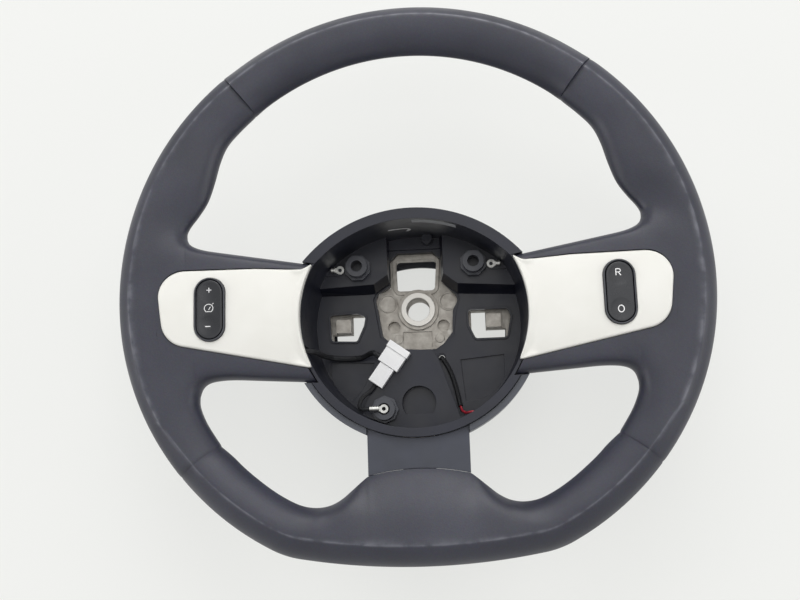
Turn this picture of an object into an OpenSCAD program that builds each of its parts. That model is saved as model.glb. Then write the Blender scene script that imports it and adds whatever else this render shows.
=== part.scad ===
// Car steering wheel without its airbag, lying face up.
// The spin axis is Z, +Y is the top of the wheel and +X its right side.
// The origin is on the axis, on the rear face of the hub boss.

/* [Rim] */
// Radius of the rim's outer edge
rim_r = 185; // [178:0.5:200]
// Height of the rim's middle plane above the rear face of the boss
rim_z = 75; // [72:0.5:85]
// Rise of the rim's centre above the spin axis
rim_lift = 4; // [2:0.5:6]
// Width of the grip across its front
grip_w = 32.5; // [29:0.5:36]
// Height of the grip above the middle plane
grip_front = 14; // [12.5:0.5:17]
// Depth of the grip behind the middle plane
grip_rear = 14.5; // [13:0.5:18]
// Distance of the front crease from the outer edge, round the top and sides
crease_in = 9.5; // [8:0.5:12]
// Distance of the front crease from the outer edge, at the bottom
crease_in_low = 13; // [9:0.5:15]
// How far the arc of the lower sides is moved outwards
side_pull = 9.5; // [4:0.5:12]
// How much nearer to the rim's centre the flat bottom is than the round top
bottom_cut = 17; // [5:0.5:21]
// Radius of the flat bottom's slight curve
bottom_r = 420; // [350:10:600]
// Radius of the corners beside the flat bottom
corner_r = 60; // [45:1:75]
// Extra width of the thumb rests
thumb_out = 9.5; // [6:0.5:12]
// Angle of the upper seams above the horizontal
seam_high = 50.5; // [46:0.5:56]
// Angle of the lower seams below the horizontal
seam_low = 37.5; // [34:0.5:40]
// Depth of the seam grooves
seam_depth = 0.9; // [0.5:0.1:1.5]
// Length over which the cover turns down into a seam groove
seam_run = 1.4; // [1:0.1:2.5]

/* [Side spokes] */
// Height of a spoke's upper edge above the spin axis, at the hub
spoke_top_y = 23.2; // [20:0.2:27]
// Drop of a spoke's lower edge below the spin axis, at the hub
spoke_low_y = 52; // [48:0.5:56]
// Fall of the spoke's front from the rim to the hub
spoke_fall = 5; // [3:0.5:7]
// Roundness reach of the spoke's long edges
spoke_round = 8; // [6:0.5:10]
// Depth of the trim pocket's floor behind the rim's middle plane
pocket_deep = 8; // [7:0.5:9]

/* [Trims] */
// Distance from the rim's outer edge to the end of a trim
trim_margin = 26.3; // [24:0.1:30]
// Height of a trim's upper edge above the spin axis
trim_top_y = 19.8; // [17:0.1:20.5]
// Drop of a trim's lower corner at the rim
trim_low_y = 27; // [24:0.1:30]
// Drop of a trim's lower corner at the hub
trim_hub_y = 43; // [40:0.1:44]
// Radius of a trim's outer corners
trim_corner_r = 16; // [12:0.5:19]
// Wall of a trim
trim_wall = 2.4; // [2:0.1:3]
// Gap between a trim and its pocket
trim_gap = 0.4; // [0.3:0.1:0.8]
// Radius of a trim's crown across the spoke
trim_crown_r = 200; // [150:5:400]
// Rise of a trim's crown over the leather beside it
trim_proud = 0.6; // [0.2:0.1:1.2]

/* [Switches] */
// Width of a switch pod
pod_w = 19; // [17:0.5:21]
// Length of a switch pod
pod_l = 39.6; // [36:0.2:44]
// Distance from the rim's outer edge to a pod's centre
pod_margin = 60; // [55:0.5:65]
// Drop of a pod's centre below the spin axis
pod_y = 5.4; // [3:0.1:8]
// Rise of a pod above its trim
pod_proud = 1; // [0.5:0.1:2]
// Depth of a pod's housing
pod_h = 12.5; // [11:0.5:13]
// Wall of the pod's bezel
pod_wall = 0.9; // [0.7:0.1:1.2]
// Gap round a rocker in its bezel
rocker_gap = 0.5; // [0.4:0.05:0.7]
// Thickness of a rocker at its rim
rocker_t = 6; // [5:0.2:7]
// Radius of a rocker's pivot pins
pivot_r = 1.2; // [1:0.05:1.5]
// Running gap round the pivot pins
pivot_gap = 0.1; // [0.05:0.01:0.2]
// Radius of the dished ends of a rocker
dish_r = 6.6; // [5.5:0.1:7]
// Depth of the dished ends of a rocker
dish_deep = 0.6; // [0.4:0.1:1]

/* [Hub] */
// Distance of the hub's upper edge from the spin axis
hub_top_y = 55; // [50:0.5:60]
// Radius of the hub's upper edge
hub_top_r = 90; // [86:0.5:95]
// Drop of the centre of the hub's round lower part below the spin axis
hub_drop = 12; // [10:0.5:13]
// Radius of the hub's round lower part
hub_low_r = 79.5; // [78:0.5:81]
// Height of the hub ring above the rim's middle plane
ring_up = 4; // [3:0.5:5]
// Thickness of the hub ring
ring_t = 4; // [3:0.5:5]
// Width of the hub ring at the top
ring_w = 6.8; // [6.2:0.1:9]
// Width of the hub ring at the bottom
ring_low_w = 5.3; // [4.5:0.1:6]
// Width of the cover's band outside the hub ring's lower half
band_w = 4.2; // [4:0.1:5]
// Lowest face of the rear cover behind the boss
cover_drop = 8; // [6:0.5:10]
// Taper of the rear cover
cover_taper = 2.5; // [1.5:0.1:2.8]
// Reach of the rear cover's bevelled lower edge
cover_bevel = 14; // [8:0.5:16]
// Wall of the rear cover
cover_wall = 2.4; // [2:0.1:2.6]
// Width of the rear cover's flange
flange_w = 5; // [4:0.5:8]
// Gap between the rear cover and what stands in it
shell_gap = 0.4; // [0.3:0.05:0.6]
// Skin of the moulded carrier
skin = 2; // [1.6:0.1:2.1]

/* [Carrier] */
// Height of the carrier's floor
floor_z = 25; // [24:0.5:27]
// Narrowing of the carrier from the ring to its floor
carrier_taper = 2.5; // [2:0.1:3.5]
// Height of the upper decks above the floor
deck_up = 12; // [10:0.5:15]
// Height of the lower dome above the floor
dome_up = 14; // [12:0.5:17]
// Radius of the round recess in the dome
recess_r = 10.9; // [9:0.1:12]
// Depth of the round recess
recess_deep = 7; // [5:0.5:9]
// Depth of the two basins in the floor
basin_deep = 1.5; // [1:0.1:2]
// Height of the lips round the hook windows
lip_up = 1.2; // [0.6:0.1:2]
// Rise of the pads under the upper terminals
pad_up = 1.2; // [0.6:0.1:2]

/* [Armature] */
// Radius of the splined bore
bore_r = 7.9; // [7:0.1:8.5]
// Radius of the boss
boss_r = 13.6; // [12.6:0.1:14]
// Radius of the machined ring on the boss
nut_seat_r = 11.3; // [10.5:0.1:12]
// Length of the boss
boss_h = 20; // [19:0.2:22]
// Height of the hub plate's front face
plate_z = 17; // [15:0.5:18]
// Thickness of the hub plate and the arms
plate_t = 7; // [6:0.5:8]
// Width of a side arm
arm_w = 18; // [15:0.5:20]
// Width of the lower arm
low_arm_w = 20; // [16:0.5:22]
// Thickness of an arm's end in its spoke
arm_end_t = 4; // [3:0.5:5]

/* [Guide bushes] */
// Distance between the two upper bushes
bush_span = 76; // [72:0.5:80]
// Height of the upper bushes above the spin axis
bush_y = 26; // [24:0.5:28]
// Outer radius of a bush
bush_r = 7; // [6:0.1:7.5]
// Bore radius of a bush
bush_bore_r = 3.7; // [3:0.1:4]
// Height of a bush above its deck
bush_h = 10; // [8:0.5:12]
// Reach of a bush's eight-sided flange beyond the bush
bush_flange = 1.9; // [1:0.1:2.1]
// Sideways distance of the lower bush from the spin axis
low_bush_x = 22.5; // [21:0.5:24]
// Drop of the lower bush below the spin axis
low_bush_y = 67.6; // [66:0.1:68]

/* [Lower spoke] */
// Width of the lower spoke's panel
panel_w = 62; // [56:1:64]
// Distance of the leather's edge from the spin axis, at the middle of the panel
flange_y = 106.2; // [103:0.5:110]
// Radius of the leather's curved edge there
flange_r = 130; // [100:2:160]
// Height of the leather's edge over the rim's middle plane there
flange_up = 1.5; // [0.5:0.5:3]
// Thickness of the panel
panel_t = 2.5; // [2:0.1:3]

/* [Hidden] */

$fn = 96;
// Small overshoot of a cutting tool
over = 1;
// Clearance between flat faces that are fitted together
fit_gap = 0.3;

leather_colour = "#3c3f48";
shell_colour = "#1d1e22";
trim_colour = "#ebeae2";
metal_colour = "#9b938c";
steel_colour = "#b4b4b0";
key_colour = "#202125";
white_nylon = "#e6e6e4";

// Curves and distances in the plane of the wheel

function quarter(s) = s >= 1 ? 1 : s <= 0 ? 0 : sqrt(1 - pow(1 - s, 2));
function mix(a, b, t) = a + (b - a) * t;
function on_arc(c, r, a) = [c[0] + r * cos(a), c[1] + r * sin(a)];
function hook_curve(a, b, c, d, t) = 0.5 * (2 * b + (c - a) * t
    + (2 * a - 5 * b + 4 * c - d) * t * t + (3 * b - a - 3 * c + d) * t * t * t);
function smooth(l, n) = [for (i = [0:len(l) - 2], k = [0:n - 1])
    hook_curve(l[max(i - 1, 0)], l[i], l[i + 1], l[min(i + 2, len(l) - 1)], k / n),
    l[len(l) - 1]];
function seg_gap(p, a, b) = let (ab = b - a, t = max(0, min(1, ((p - a) * ab) / (ab * ab))))
    norm(p - a - ab * t);
function edge_share(p, path) = min([for (i = [0:len(path) - 2])
    seg_gap(p, [path[i][0], path[i][1]], [path[i + 1][0], path[i + 1][1]]) / path[i][2]]);
function mirror_x(l) = [for (i = [len(l) - 1:-1:0]) [-l[i][0], l[i][1]]];

// Levels and radii that the hub's parts share

ring_z = rim_z + ring_up;
ring_under_z = ring_z - ring_t;
spoke_rear = grip_rear - 1.5;
turn_z = rim_z - spoke_rear - shell_gap;
ring_in_r = hub_low_r - band_w - ring_low_w;
ring_out_r = hub_low_r - band_w;
wall_out_r = ring_in_r + skin;
low_arm_z = rim_z - 9;
low_arm_end_y = flange_y + 18;
hub_top_c = [0, hub_top_y - hub_top_r];
hub_low_c = [0, -hub_drop];
function hub_half(top_r, low_r) = min(low_r,
    sqrt(top_r * top_r - pow(arm_w / 2 - hub_drop - hub_top_c[1], 2)));
riser_in_x = hub_half(hub_top_r - ring_w + skin, wall_out_r) + fit_gap * 2;
riser_foot_in_x = riser_in_x - carrier_taper;
riser_out_x = hub_half(hub_top_r, hub_low_r) - cover_wall - shell_gap * 2;
riser_foot_out_x = riser_out_x - cover_taper;
low_riser_in = wall_out_r + fit_gap * 2;
low_riser_out = hub_low_r - cover_wall - shell_gap * 2;

// Outline of the rim: a circle above, flatter arcs at the lower sides, round corners
// and the flat bottom. It is followed by the direction in which each arc faces.

bottom_drop = rim_r - bottom_cut;
side_c = [side_pull, 0];
side_r = rim_r - side_pull;
flat_c = [0, bottom_r - bottom_drop];
corner_c = let (d = flat_c - side_c, l = norm(d), r1 = side_r - corner_r, r2 = bottom_r - corner_r,
    a = (r1 * r1 - r2 * r2 + l * l) / (2 * l), h = sqrt(r1 * r1 - a * a))
    side_c + d * a / l + [d[1], -d[0]] * h / l;
corner_from = atan2(corner_c[1] - side_c[1], corner_c[0] - side_c[0]);
corner_to = atan2(corner_c[1] - flat_c[1], corner_c[0] - flat_c[0]);
function facing(a) = a + asin(side_pull * sin(min(a, 0)) / side_r);
function outline(a) = a >= 0 ? on_arc([0, 0], rim_r, a)
    : a >= corner_from ? on_arc(side_c, side_r, a)
    : a >= corner_to ? on_arc(corner_c, corner_r, a)
    : on_arc(flat_c, bottom_r, a);
function outer_gap(p) = let (q = [abs(p[0]), p[1]], k = q - corner_c, ak = atan2(k[1], k[0]))
    q[1] >= 0 ? rim_r - norm(q)
    : ak < corner_from && ak > corner_to && norm(k) > corner_r / 2 ? corner_r - norm(k)
    : min(side_r - norm(q - side_c), bottom_r - norm(q - flat_c));

// Height of the grip over its section: round at both sides, with a soft crease in front

crease_reach = 18;
crease_level = 0.95;
crest_in = grip_w / 2;
function crease_at(p) = mix(crease_in, crease_in_low, quarter(max(0, -p[1] - 80) / 80));
function front_share(d, c) = d >= crest_in ? 1
    : d >= c ? mix(crease_level, 1, (d - c) / max(crest_in - c, 1))
    : crease_level * quarter(d / max(crease_reach, c + 1)) / quarter(c / max(crease_reach, c + 1));
function rear_share(d) = quarter(d / crest_in);

// Stations across the grip, from the outer edge to the inner edge

outer_steps = [0, 0.05, 0.24, 0.58];
inner_steps = [0.85, 0.5, 0.22, 0.05, 0];
grip_reach = 15;
function across(o, i, c, even) = let (w = norm(i - o), u = (i - o) / w, last = len(inner_steps),
    e = min(grip_reach, w - c - 2), free = w - c)
    [for (s = outer_steps) o + u * s * c, o + u * c, o + u * (c + (w - c - 0.85 * e) / 2),
    for (k = [0:last - 1]) o + u * mix(w - inner_steps[k] * e, c + free * (k + 2) / (last + 1), even)];
across_last = len(outer_steps) + 1 + len(inner_steps);

// Side section: the grip between two seams and the spoke that grows from it.
// Each row of the rest list holds the direction, the extra width and the edge's reach.

thumb_rest = [[seam_high, 0, 15], [45, 0, 15], [40.4, 0.03, 15], [36.1, 0.33, 15],
    [31.3, 0.76, 16], [26, 1, 18], [21.6, 0.82, 18], [18.5, 0.54, 17], [16.5, 0.44, 15],
    [15, 0.56, 13]];
heel_rest = [[-25, 4.6, 12], [-26.9, 2.4, 13], [-30.6, 1.1, 15], [-34.3, 0.8, 15],
    [-seam_low, 0.5, 15]];
function rest_pt(a, extra) = on_arc([0, 0], rim_r - grip_w - extra, a);
high_in = [for (r = smooth(thumb_rest, 2)) concat(rest_pt(r[0], r[1] * thumb_out), r[2])];
low_in = [for (r = smooth(heel_rest, 2)) concat(rest_pt(r[0], r[1]), r[2])];
high_out = [for (r = smooth(thumb_rest, 2)) outline(r[0])];
low_out = [for (r = smooth(heel_rest, 2)) outline(facing(r[0]))];
root_high = high_in[len(high_in) - 1];
root_low = low_in[0];
spoke_end_x = 58;
spoke_rows = 4;
high_edge = concat([root_high, root_high + [-1.2, -2.6, -1], root_high + [-4.6, -5.2, -3],
    root_high + [-11.7, -7.8, spoke_round - 13]],
    [for (k = [0:spoke_rows]) let (a = root_high + [-24.2, -10.2, 0])
        [mix(a[0], spoke_end_x, k / spoke_rows), mix(a[1], spoke_top_y - rim_lift - 2, k / spoke_rows),
        spoke_round]]);
low_edge = concat([root_low, root_low + [-1.4, 4.9, -1], root_low + [-5, 8.2, -2],
    root_low + [-11.5, 9.8, spoke_round - 12]],
    [for (k = [0:spoke_rows]) let (a = root_low + [-22, 10.1, 0])
        [mix(a[0], spoke_end_x, k / spoke_rows), mix(a[1], -spoke_low_y - rim_lift, k / spoke_rows),
        spoke_round]]);
high_path = concat(high_in, [for (k = [1:len(high_edge) - 1]) high_edge[k]]);
function spoke_share(p) = min(edge_share(p, high_path), edge_share(p, low_edge),
    edge_share(p, low_in));

row_steps = [0, 0.06, 0.26, 0.6, 1.05];
function row_pts(t, b) = let (w = norm(t - b), u = (b - t) / w, e = spoke_round)
    [for (s = row_steps) t + u * s * e, t + u * mix(1.05 * e, w / 2, 0.5), t + u * w / 2,
    b - u * mix(1.05 * e, w / 2, 0.5), for (k = [len(row_steps) - 1:-1:0]) b - u * row_steps[k] * e];
row_last = 2 * len(row_steps) + 2;
rows = [for (m = [0:len(high_edge) - 1])
    row_pts([high_edge[m][0], high_edge[m][1]], [low_edge[m][0], low_edge[m][1]])];

high_n = len(high_in) - 1;
low_n = len(low_in) - 1;
side_lines = concat(
    [for (i = [0:high_n]) across(high_out[i], [high_in[i][0], high_in[i][1]], crease_in, 0)],
    [for (j = [1:row_last - 1])
        let (a = mix(thumb_rest[len(thumb_rest) - 1][0], heel_rest[0][0], j / row_last),
            o = outline(facing(a)))
        across(o, rows[0][j], crease_at(o), min(1, j / 4, (row_last - j) / 4))],
    [for (i = [0:low_n]) across(low_out[i], [low_in[i][0], low_in[i][1]], crease_at(low_out[i]), 0)]);
side_last = len(side_lines) - 1;
line_pts = across_last + 1;
function line_at(i, k) = i * line_pts + k;
function row_at(m, j) = m == 0 ? line_at(high_n + j, across_last)
    : (side_last + 1) * line_pts + (m - 1) * (row_last + 1) + j;
function side_edge(v) = let (n = (side_last + 1) * line_pts)
    v < n ? (v % line_pts == 0 || (v % line_pts == across_last
        && (floor(v / line_pts) <= high_n || floor(v / line_pts) >= high_n + row_last)))
    : ((v - n) % (row_last + 1) == 0 || (v - n) % (row_last + 1) == row_last);

trim_end_x = rim_r - trim_margin;
fall_angle = atan(spoke_fall / (trim_end_x - ring_in_r));
function spoke_front(x) = grip_front - tan(fall_angle) * max(0, trim_end_x - x);
function side_front(p) = spoke_front(p[0]) * front_share(outer_gap(p), crease_at(p))
    * quarter(spoke_share(p));
function side_rear(p) = -mix(grip_rear, spoke_rear, min(1, max(0, trim_end_x - p[0]) / 40))
    * rear_share(outer_gap(p)) * quarter(spoke_share(p));

// A closed body over a flat net: front and rear skins that share the net's rim points.

module quilt(flat, front, rear, quads, caps, is_edge) {
    n = len(flat);
    pts = concat([for (i = [0:n - 1]) [flat[i][0], flat[i][1], is_edge[i] ? 0 : front[i]]],
        [for (i = [0:n - 1]) [flat[i][0], flat[i][1], is_edge[i] ? 0 : rear[i]]]);
    back = [for (i = [0:n - 1]) is_edge[i] ? i : i + n];
    faces = concat(
        [for (q = quads) each [[q[2], q[1], q[0]], [q[3], q[2], q[0]]]],
        [for (q = quads) each [[back[q[0]], back[q[1]], back[q[2]]], [back[q[0]], back[q[2]], back[q[3]]]]],
        [for (c = caps) concat([for (k = [len(c) - 1:-1:0]) c[k]], [for (k = [1:len(c) - 2]) back[c[k]]])]);
    polyhedron(points = pts, faces = faces, convexity = 6);
}

// The section at a seam is drawn in, so that two sections meet in a groove

draw_in = 1 - 2 * seam_depth / grip_w;
seam_turn = seam_run * 180 / PI / (rim_r - grip_w / 2);
function drawn(l) = let (m = (l[0] + l[len(l) - 1]) / 2) [for (p = l) m + (p - m) * draw_in];

// Right side section, in the plane of the rim

side_net = concat([drawn(side_lines[0])], [for (i = [1:side_last - 1]) side_lines[i]],
    [drawn(side_lines[side_last])]);
side_flat = concat([for (l = side_net, p = l) p], [for (m = [1:len(rows) - 1], p = rows[m]) p]);
side_true = concat([for (l = side_lines, p = l) p], [for (m = [1:len(rows) - 1], p = rows[m]) p]);
function side_draw(v) = v < line_pts || (v >= side_last * line_pts && v < (side_last + 1) * line_pts)
    ? draw_in : 1;
side_is_edge = [for (v = [0:len(side_flat) - 1]) side_edge(v)];
side_quads = concat(
    [for (i = [0:side_last - 1], k = [0:across_last - 1])
        [line_at(i, k), line_at(i, k + 1), line_at(i + 1, k + 1), line_at(i + 1, k)]],
    [for (m = [0:len(rows) - 2], j = [0:row_last - 1])
        [row_at(m, j), row_at(m + 1, j), row_at(m + 1, j + 1), row_at(m, j + 1)]]);
side_caps = [
    [for (k = [across_last:-1:0]) line_at(0, k)],
    [for (k = [0:across_last]) line_at(side_last, k)],
    [for (j = [row_last:-1:0]) row_at(len(rows) - 1, j)]];

module side_body() translate([0, rim_lift, rim_z])
    quilt(side_flat, [for (v = [0:len(side_flat) - 1]) side_front(side_true[v]) * side_draw(v)],
        [for (v = [0:len(side_flat) - 1]) side_rear(side_true[v]) * side_draw(v)],
        side_quads, side_caps, side_is_edge);

module rim_side() difference() {
    side_body();
    translate([0, 0, rim_z - pocket_deep]) linear_extrude(grip_front + pocket_deep + over)
        trim_outline(-trim_gap);
    translate([0, -hub_drop, rim_z - grip_rear - over])
        cylinder(h = grip_front + grip_rear + 2 * over, r = wall_out_r + fit_gap * 2);
    translate([0, -hub_drop - arm_w / 2 - shell_gap, rim_z - grip_rear - over])
        cube([riser_out_x + shell_gap, arm_w + 2 * shell_gap, grip_rear + over - pocket_deep + over]);
}

module rim_right() color(leather_colour) rim_side();
module rim_left() color(leather_colour) mirror([1, 0, 0]) rim_side();

// Top section: the plain grip swept from seam to seam

top_line = across([rim_r, 0], [rim_r - grip_w, 0], crease_in, 0);
function grip_ring(l, f) = let (m = (l[0][0] + l[len(l) - 1][0]) / 2) concat(
    [for (p = l) [m + (p[0] - m) * f, top_front(p) * f]],
    [for (k = [len(l) - 2:-1:1]) [m + (l[k][0] - m) * f, top_rear(l[k]) * f]]);
function top_front(p) = grip_front * front_share(rim_r - p[0], crease_in)
    * quarter((p[0] - rim_r + grip_w) / grip_reach);
function top_rear(p) = -grip_rear * rear_share(rim_r - p[0])
    * quarter((p[0] - rim_r + grip_w) / grip_reach);

module rim_top() color(leather_colour) translate([0, rim_lift, rim_z]) {
    rotate_extrude(angle = 180 - 2 * (seam_high + seam_turn), start = seam_high + seam_turn)
        polygon(grip_ring(top_line, 1));
    rotate_extrude(angle = 180 - 2 * seam_high, start = seam_high) polygon(grip_ring(top_line, draw_in));
}

// Bottom section, with the leather's flare round the lower spoke's panel.
// Each row of the list holds the outline's direction, the inner point and the edge's reach.

flange_c = [0, -flange_y - rim_lift - flange_r];
panel_side = panel_w / 2 + fit_gap;
function flange_pt(x) = [x, flange_c[1] + sqrt(flange_r * flange_r - x * x)];
low_seam_in = rest_pt(-seam_low, 0.5);
flare_rim_r = 185;
flare_bends = [[-42.5, 113, -99.5, 15], [-46, 107, -105.6, 15], [-51, 99.5, -112.2, 15],
    [-57, 90.5, -119.3, 14], [-64, 81, -125.5, 14], [-71, 71.5, -130, 14], [-77, 62.5, -131.5, 13],
    [-80.8, 54.5, -130.4, 12], [-82.8, 47.5, -127, 12], [-84.3, 41, -121.8, 11],
    [-85.4, 35.8, -117.4, 10]];
flare = concat([[facing(-seam_low), low_seam_in[0], low_seam_in[1], 15],
    [facing(-seam_low - seam_turn), low_seam_in[0] - 1, low_seam_in[1] - 1.2, 15]],
    [for (b = flare_bends) [b[0], b[1] * rim_r / flare_rim_r, b[2] * rim_r / flare_rim_r, b[3]]]);
flange_steps = 4;
flange_turn = -86.4;
flare_pts = concat([for (r = flare) [outline(r[0]), [r[1], r[2]], r[3]]],
    [for (k = [0:flange_steps]) let (q = flange_pt(panel_side * (1 - k / flange_steps)))
        [outline(mix(flange_turn, -90, k / flange_steps)), q, 8]]);
flare_path = [for (k = [0:len(flare)]) [flare_pts[k][1][0], flare_pts[k][1][1], flare_pts[k][2]]];
right_low = [for (r = flare_pts) across(r[0], r[1], crease_at(r[0]), 0)];
low_half = len(right_low) - 1;
low_true = concat(right_low, [for (i = [low_half - 1:-1:0]) [for (p = right_low[i]) [-p[0], p[1]]]]);
low_last = len(low_true) - 1;
low_net = concat([drawn(low_true[0])], [for (i = [1:low_last - 1]) low_true[i]],
    [drawn(low_true[low_last])]);
low_flat = [for (l = low_net, p = l) p];
low_src = [for (l = low_true, p = l) p];
open_from = len(flare) + 1;
function low_open(i) = i >= open_from && i <= low_last - open_from;
function low_edge_at(v) = let (k = v % line_pts, i = floor(v / line_pts))
    k == 0 || (k == across_last && !low_open(i));
function flange_gap(p) = let (q = [abs(p[0]), p[1]])
    q[0] <= panel_side ? flange_r - norm(q - flange_c) : norm(q - flange_pt(panel_side));
flange_ramp = 26;
function ease(t) = let (k = max(0, min(1, t))) k * k * (3 - 2 * k);
function flare_share(p) = quarter(edge_share([abs(p[0]), p[1]], flare_path));
flange_rear = grip_rear - 3.5;
function low_front(p) = let (k = ease(flange_gap(p) / flange_ramp))
    mix(flange_up, grip_front * front_share(outer_gap(p), crease_at(p)), k) * flare_share(p);
function low_rear(p) = let (k = ease(flange_gap(p) / flange_ramp))
    -mix(flange_rear, grip_rear * rear_share(outer_gap(p)), k) * flare_share(p);
function low_draw(v) = v < line_pts || v >= low_last * line_pts ? draw_in : 1;
low_quads = [for (i = [0:low_last - 1], k = [0:across_last - 1])
    [line_at(i, k), line_at(i, k + 1), line_at(i + 1, k + 1), line_at(i + 1, k)]];
low_caps = [[for (k = [across_last:-1:0]) line_at(0, k)],
    [for (k = [0:across_last]) line_at(low_last, k)],
    [for (i = [low_last - open_from + 1:-1:open_from - 1]) line_at(i, across_last)]];

module rim_bottom() color(leather_colour) difference() {
    translate([0, rim_lift, rim_z])
        quilt(low_flat, [for (v = [0:len(low_flat) - 1]) low_front(low_src[v]) * low_draw(v)],
            [for (v = [0:len(low_flat) - 1]) low_rear(low_src[v]) * low_draw(v)],
            low_quads, low_caps, [for (v = [0:len(low_flat) - 1]) low_edge_at(v)]);
    translate([-low_arm_w / 2 - fit_gap, -low_arm_end_y - fit_gap, low_arm_z])
        cube([low_arm_w + 2 * fit_gap, low_arm_end_y - flange_y + 3 * over, arm_end_t + fit_gap]);
}

// The hub's form: a wide arc above and a round part below, narrower at the back

module lathe_side(c, r, low, high) translate(c) rotate_extrude()
    polygon([[0, low], [r - cover_taper - cover_bevel, low], [r - cover_taper, low + cover_bevel],
        [r, turn_z], [r, high], [0, high]]);
module cover_form(inset, low, high) intersection() {
    lathe_side(hub_top_c, hub_top_r - inset, low, high);
    lathe_side(hub_low_c, hub_low_r - inset, low, high);
}
module tray_side(c, r, taper, low, high) translate(c) rotate_extrude()
    polygon([[0, low], [r - taper, low], [r, turn_z], [r, high], [0, high]]);
module tray_form(wall, low, high) intersection() {
    tray_side(hub_top_c, hub_top_r - ring_w + wall, 0, low, high);
    tray_side(hub_low_c, ring_in_r + wall, carrier_taper, low, high);
}
module at_low_hub(z) translate([0, -hub_drop, z]) children();

// Room for a side spoke: its outline with a gap, through the whole height

spoke_rise = (high_edge[len(high_edge) - 2][1] - high_edge[len(high_edge) - 1][1])
    / (high_edge[len(high_edge) - 2][0] - high_edge[len(high_edge) - 1][0]);
spoke_dip = (low_edge[len(low_edge) - 2][1] - low_edge[len(low_edge) - 1][1])
    / (low_edge[len(low_edge) - 2][0] - low_edge[len(low_edge) - 1][0]);
room_x = rim_r / 2;
module spoke_room(z) for (side = [0, 1]) mirror([side, 0, 0]) translate([0, 0, z])
    linear_extrude(rim_z) polygon([
        [spoke_end_x, spoke_top_y - 2 + shell_gap],
        [room_x + spoke_end_x, spoke_top_y - 2 + shell_gap + spoke_rise * room_x],
        [room_x + spoke_end_x, -spoke_low_y - shell_gap + spoke_dip * room_x],
        [spoke_end_x, -spoke_low_y - shell_gap]]);

module rear_cover() color(shell_colour) difference() {
    union() {
        cover_form(0, -cover_drop, ring_under_z);
        at_low_hub(ring_under_z - ring_t / 2) intersection() {
            cylinder(h = ring_t, r = hub_low_r);
            translate([-rim_r, -rim_r - spoke_low_y + hub_drop, -over]) cube([2 * rim_r, rim_r, rim_z]);
        }
    }
    cover_form(cover_wall, cover_wall - cover_drop, ring_under_z - ring_t / 2);
    intersection() {
        cover_form(cover_wall, 0, rim_z + over);
        translate([-rim_r, -spoke_low_y, 0]) cube([2 * rim_r, rim_r, rim_z + over]);
    }
    at_low_hub(ring_under_z - ring_t) cylinder(h = 3 * ring_t, r = ring_out_r + shell_gap);
    translate([0, 0, -cover_drop - over]) linear_extrude(cover_wall + 2 * over) intersection() {
        translate(hub_top_c) circle(hub_top_r - cover_taper - cover_bevel - flange_w);
        translate(hub_low_c) circle(hub_low_r - cover_taper - cover_bevel - flange_w);
    }
    spoke_room(turn_z);
    translate([-panel_w / 2 - fit_gap, -rim_r, low_arm_z - fit_gap]) cube([panel_w + 2 * fit_gap, rim_r
        - hub_drop - ring_in_r * 0.7, rim_z]);
}

deck_right = [[18.1, 70], [18.1, 20.6], [27.2, 13.5], [61.5, 11], [80, 9.7], [80, 70]];
deck_right_foot = [[15.8, 70], [15.8, 16.3], [26.7, 8], [61.6, 6.2], [80, 5.2], [80, 70]];
deck_left = [[-18.5, 70], [-18.5, 21.4], [-27.7, 15.1], [-60.3, 13.7], [-80, 12.9], [-80, 70]];
deck_left_foot = [[-18, 70], [-18, 16.4], [-27.5, 10], [-62, 10.2], [-80, 10.4], [-80, 70]];
dome = [[-21.5, -28], [-32.6, -58], [-36.5, -66], [-40, -90], [30, -90], [24.4, -69.8], [12.5, -35],
    [9, -30]];
plate_cut = [[-18.5, 70], [-18.5, 17], [-27, 12.5], [-29.5, 7], [-27.5, -6], [-25.5, -18.5], [-13, -28.6],
    [12, -28.6], [23.5, -18.5], [25.5, -4], [28, 5], [26.5, 12], [17.5, 17], [17.5, 70]];
left_hook = [[-58.6, -2.8], [-40.3, -2.2], [-34.8, -4.4], [-36, -10.4], [-40.8, -20.8], [-57.7, -20]];
right_hook = [[59.3, -2.9], [33.2, -2.7], [33.6, -13], [37.6, -21.8], [58, -21.8], [61.2, -8.1]];
hook_round = 2;
lip_w = 1.3;
left_basin = [[-59, -34], [-59, -43.5], [-56, -51], [-50.5, -57], [-45, -60.5], [-39.8, -54.8],
    [-34.4, -46.6], [-29.8, -35.5]];
right_basin = [[27, -35.5], [55.5, -33], [55.5, -47], [50.5, -55], [40, -61.5], [29.5, -63]];
bump_at = [7.9, 45.6];
bump_r = 3.6;
bump_up = 8;
lead_hole_at = [14.6, -33.6];
lead_hole_r = 2.8;
recess_x = -0.5;
recess_y = -63.8;
recess_flat = 7.1;
low_wall_z = ring_z - 0.5;

module on_floor(up) intersection() {
    tray_form(skin / 2, floor_z - skin, ring_z);
    translate([0, 0, floor_z - skin]) linear_extrude(up + skin) children();
}
module loft(foot, top, inset, low, high) hull() {
    translate([0, 0, low]) linear_extrude(0.1) offset(delta = -inset) polygon(foot);
    translate([0, 0, high - 0.1]) linear_extrude(0.1) offset(delta = -inset) polygon(top);
}
module deck(foot, top) intersection() {
    tray_form(skin / 2, floor_z - skin, ring_z);
    loft(foot, top, 0, floor_z - skin, floor_z + deck_up);
}
module under_deck(foot, top) intersection() {
    tray_form(-skin, floor_z - skin - over, ring_z);
    loft(foot, top, skin, floor_z - skin - over, floor_z + deck_up - skin);
}
module hook_form(shape, grow) offset(r = hook_round + grow, $fn = 24) offset(delta = -hook_round)
    polygon(shape);
module terminal_pad(side) on_floor(deck_up + pad_up) hull() {
    translate([side * (pad_x + pad_w / 2), terminal_y]) circle(pad_w / 2, $fn = 32);
    translate([side * (pad_x + 3 * pad_w), terminal_y]) circle(pad_w / 2, $fn = 32);
}

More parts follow.
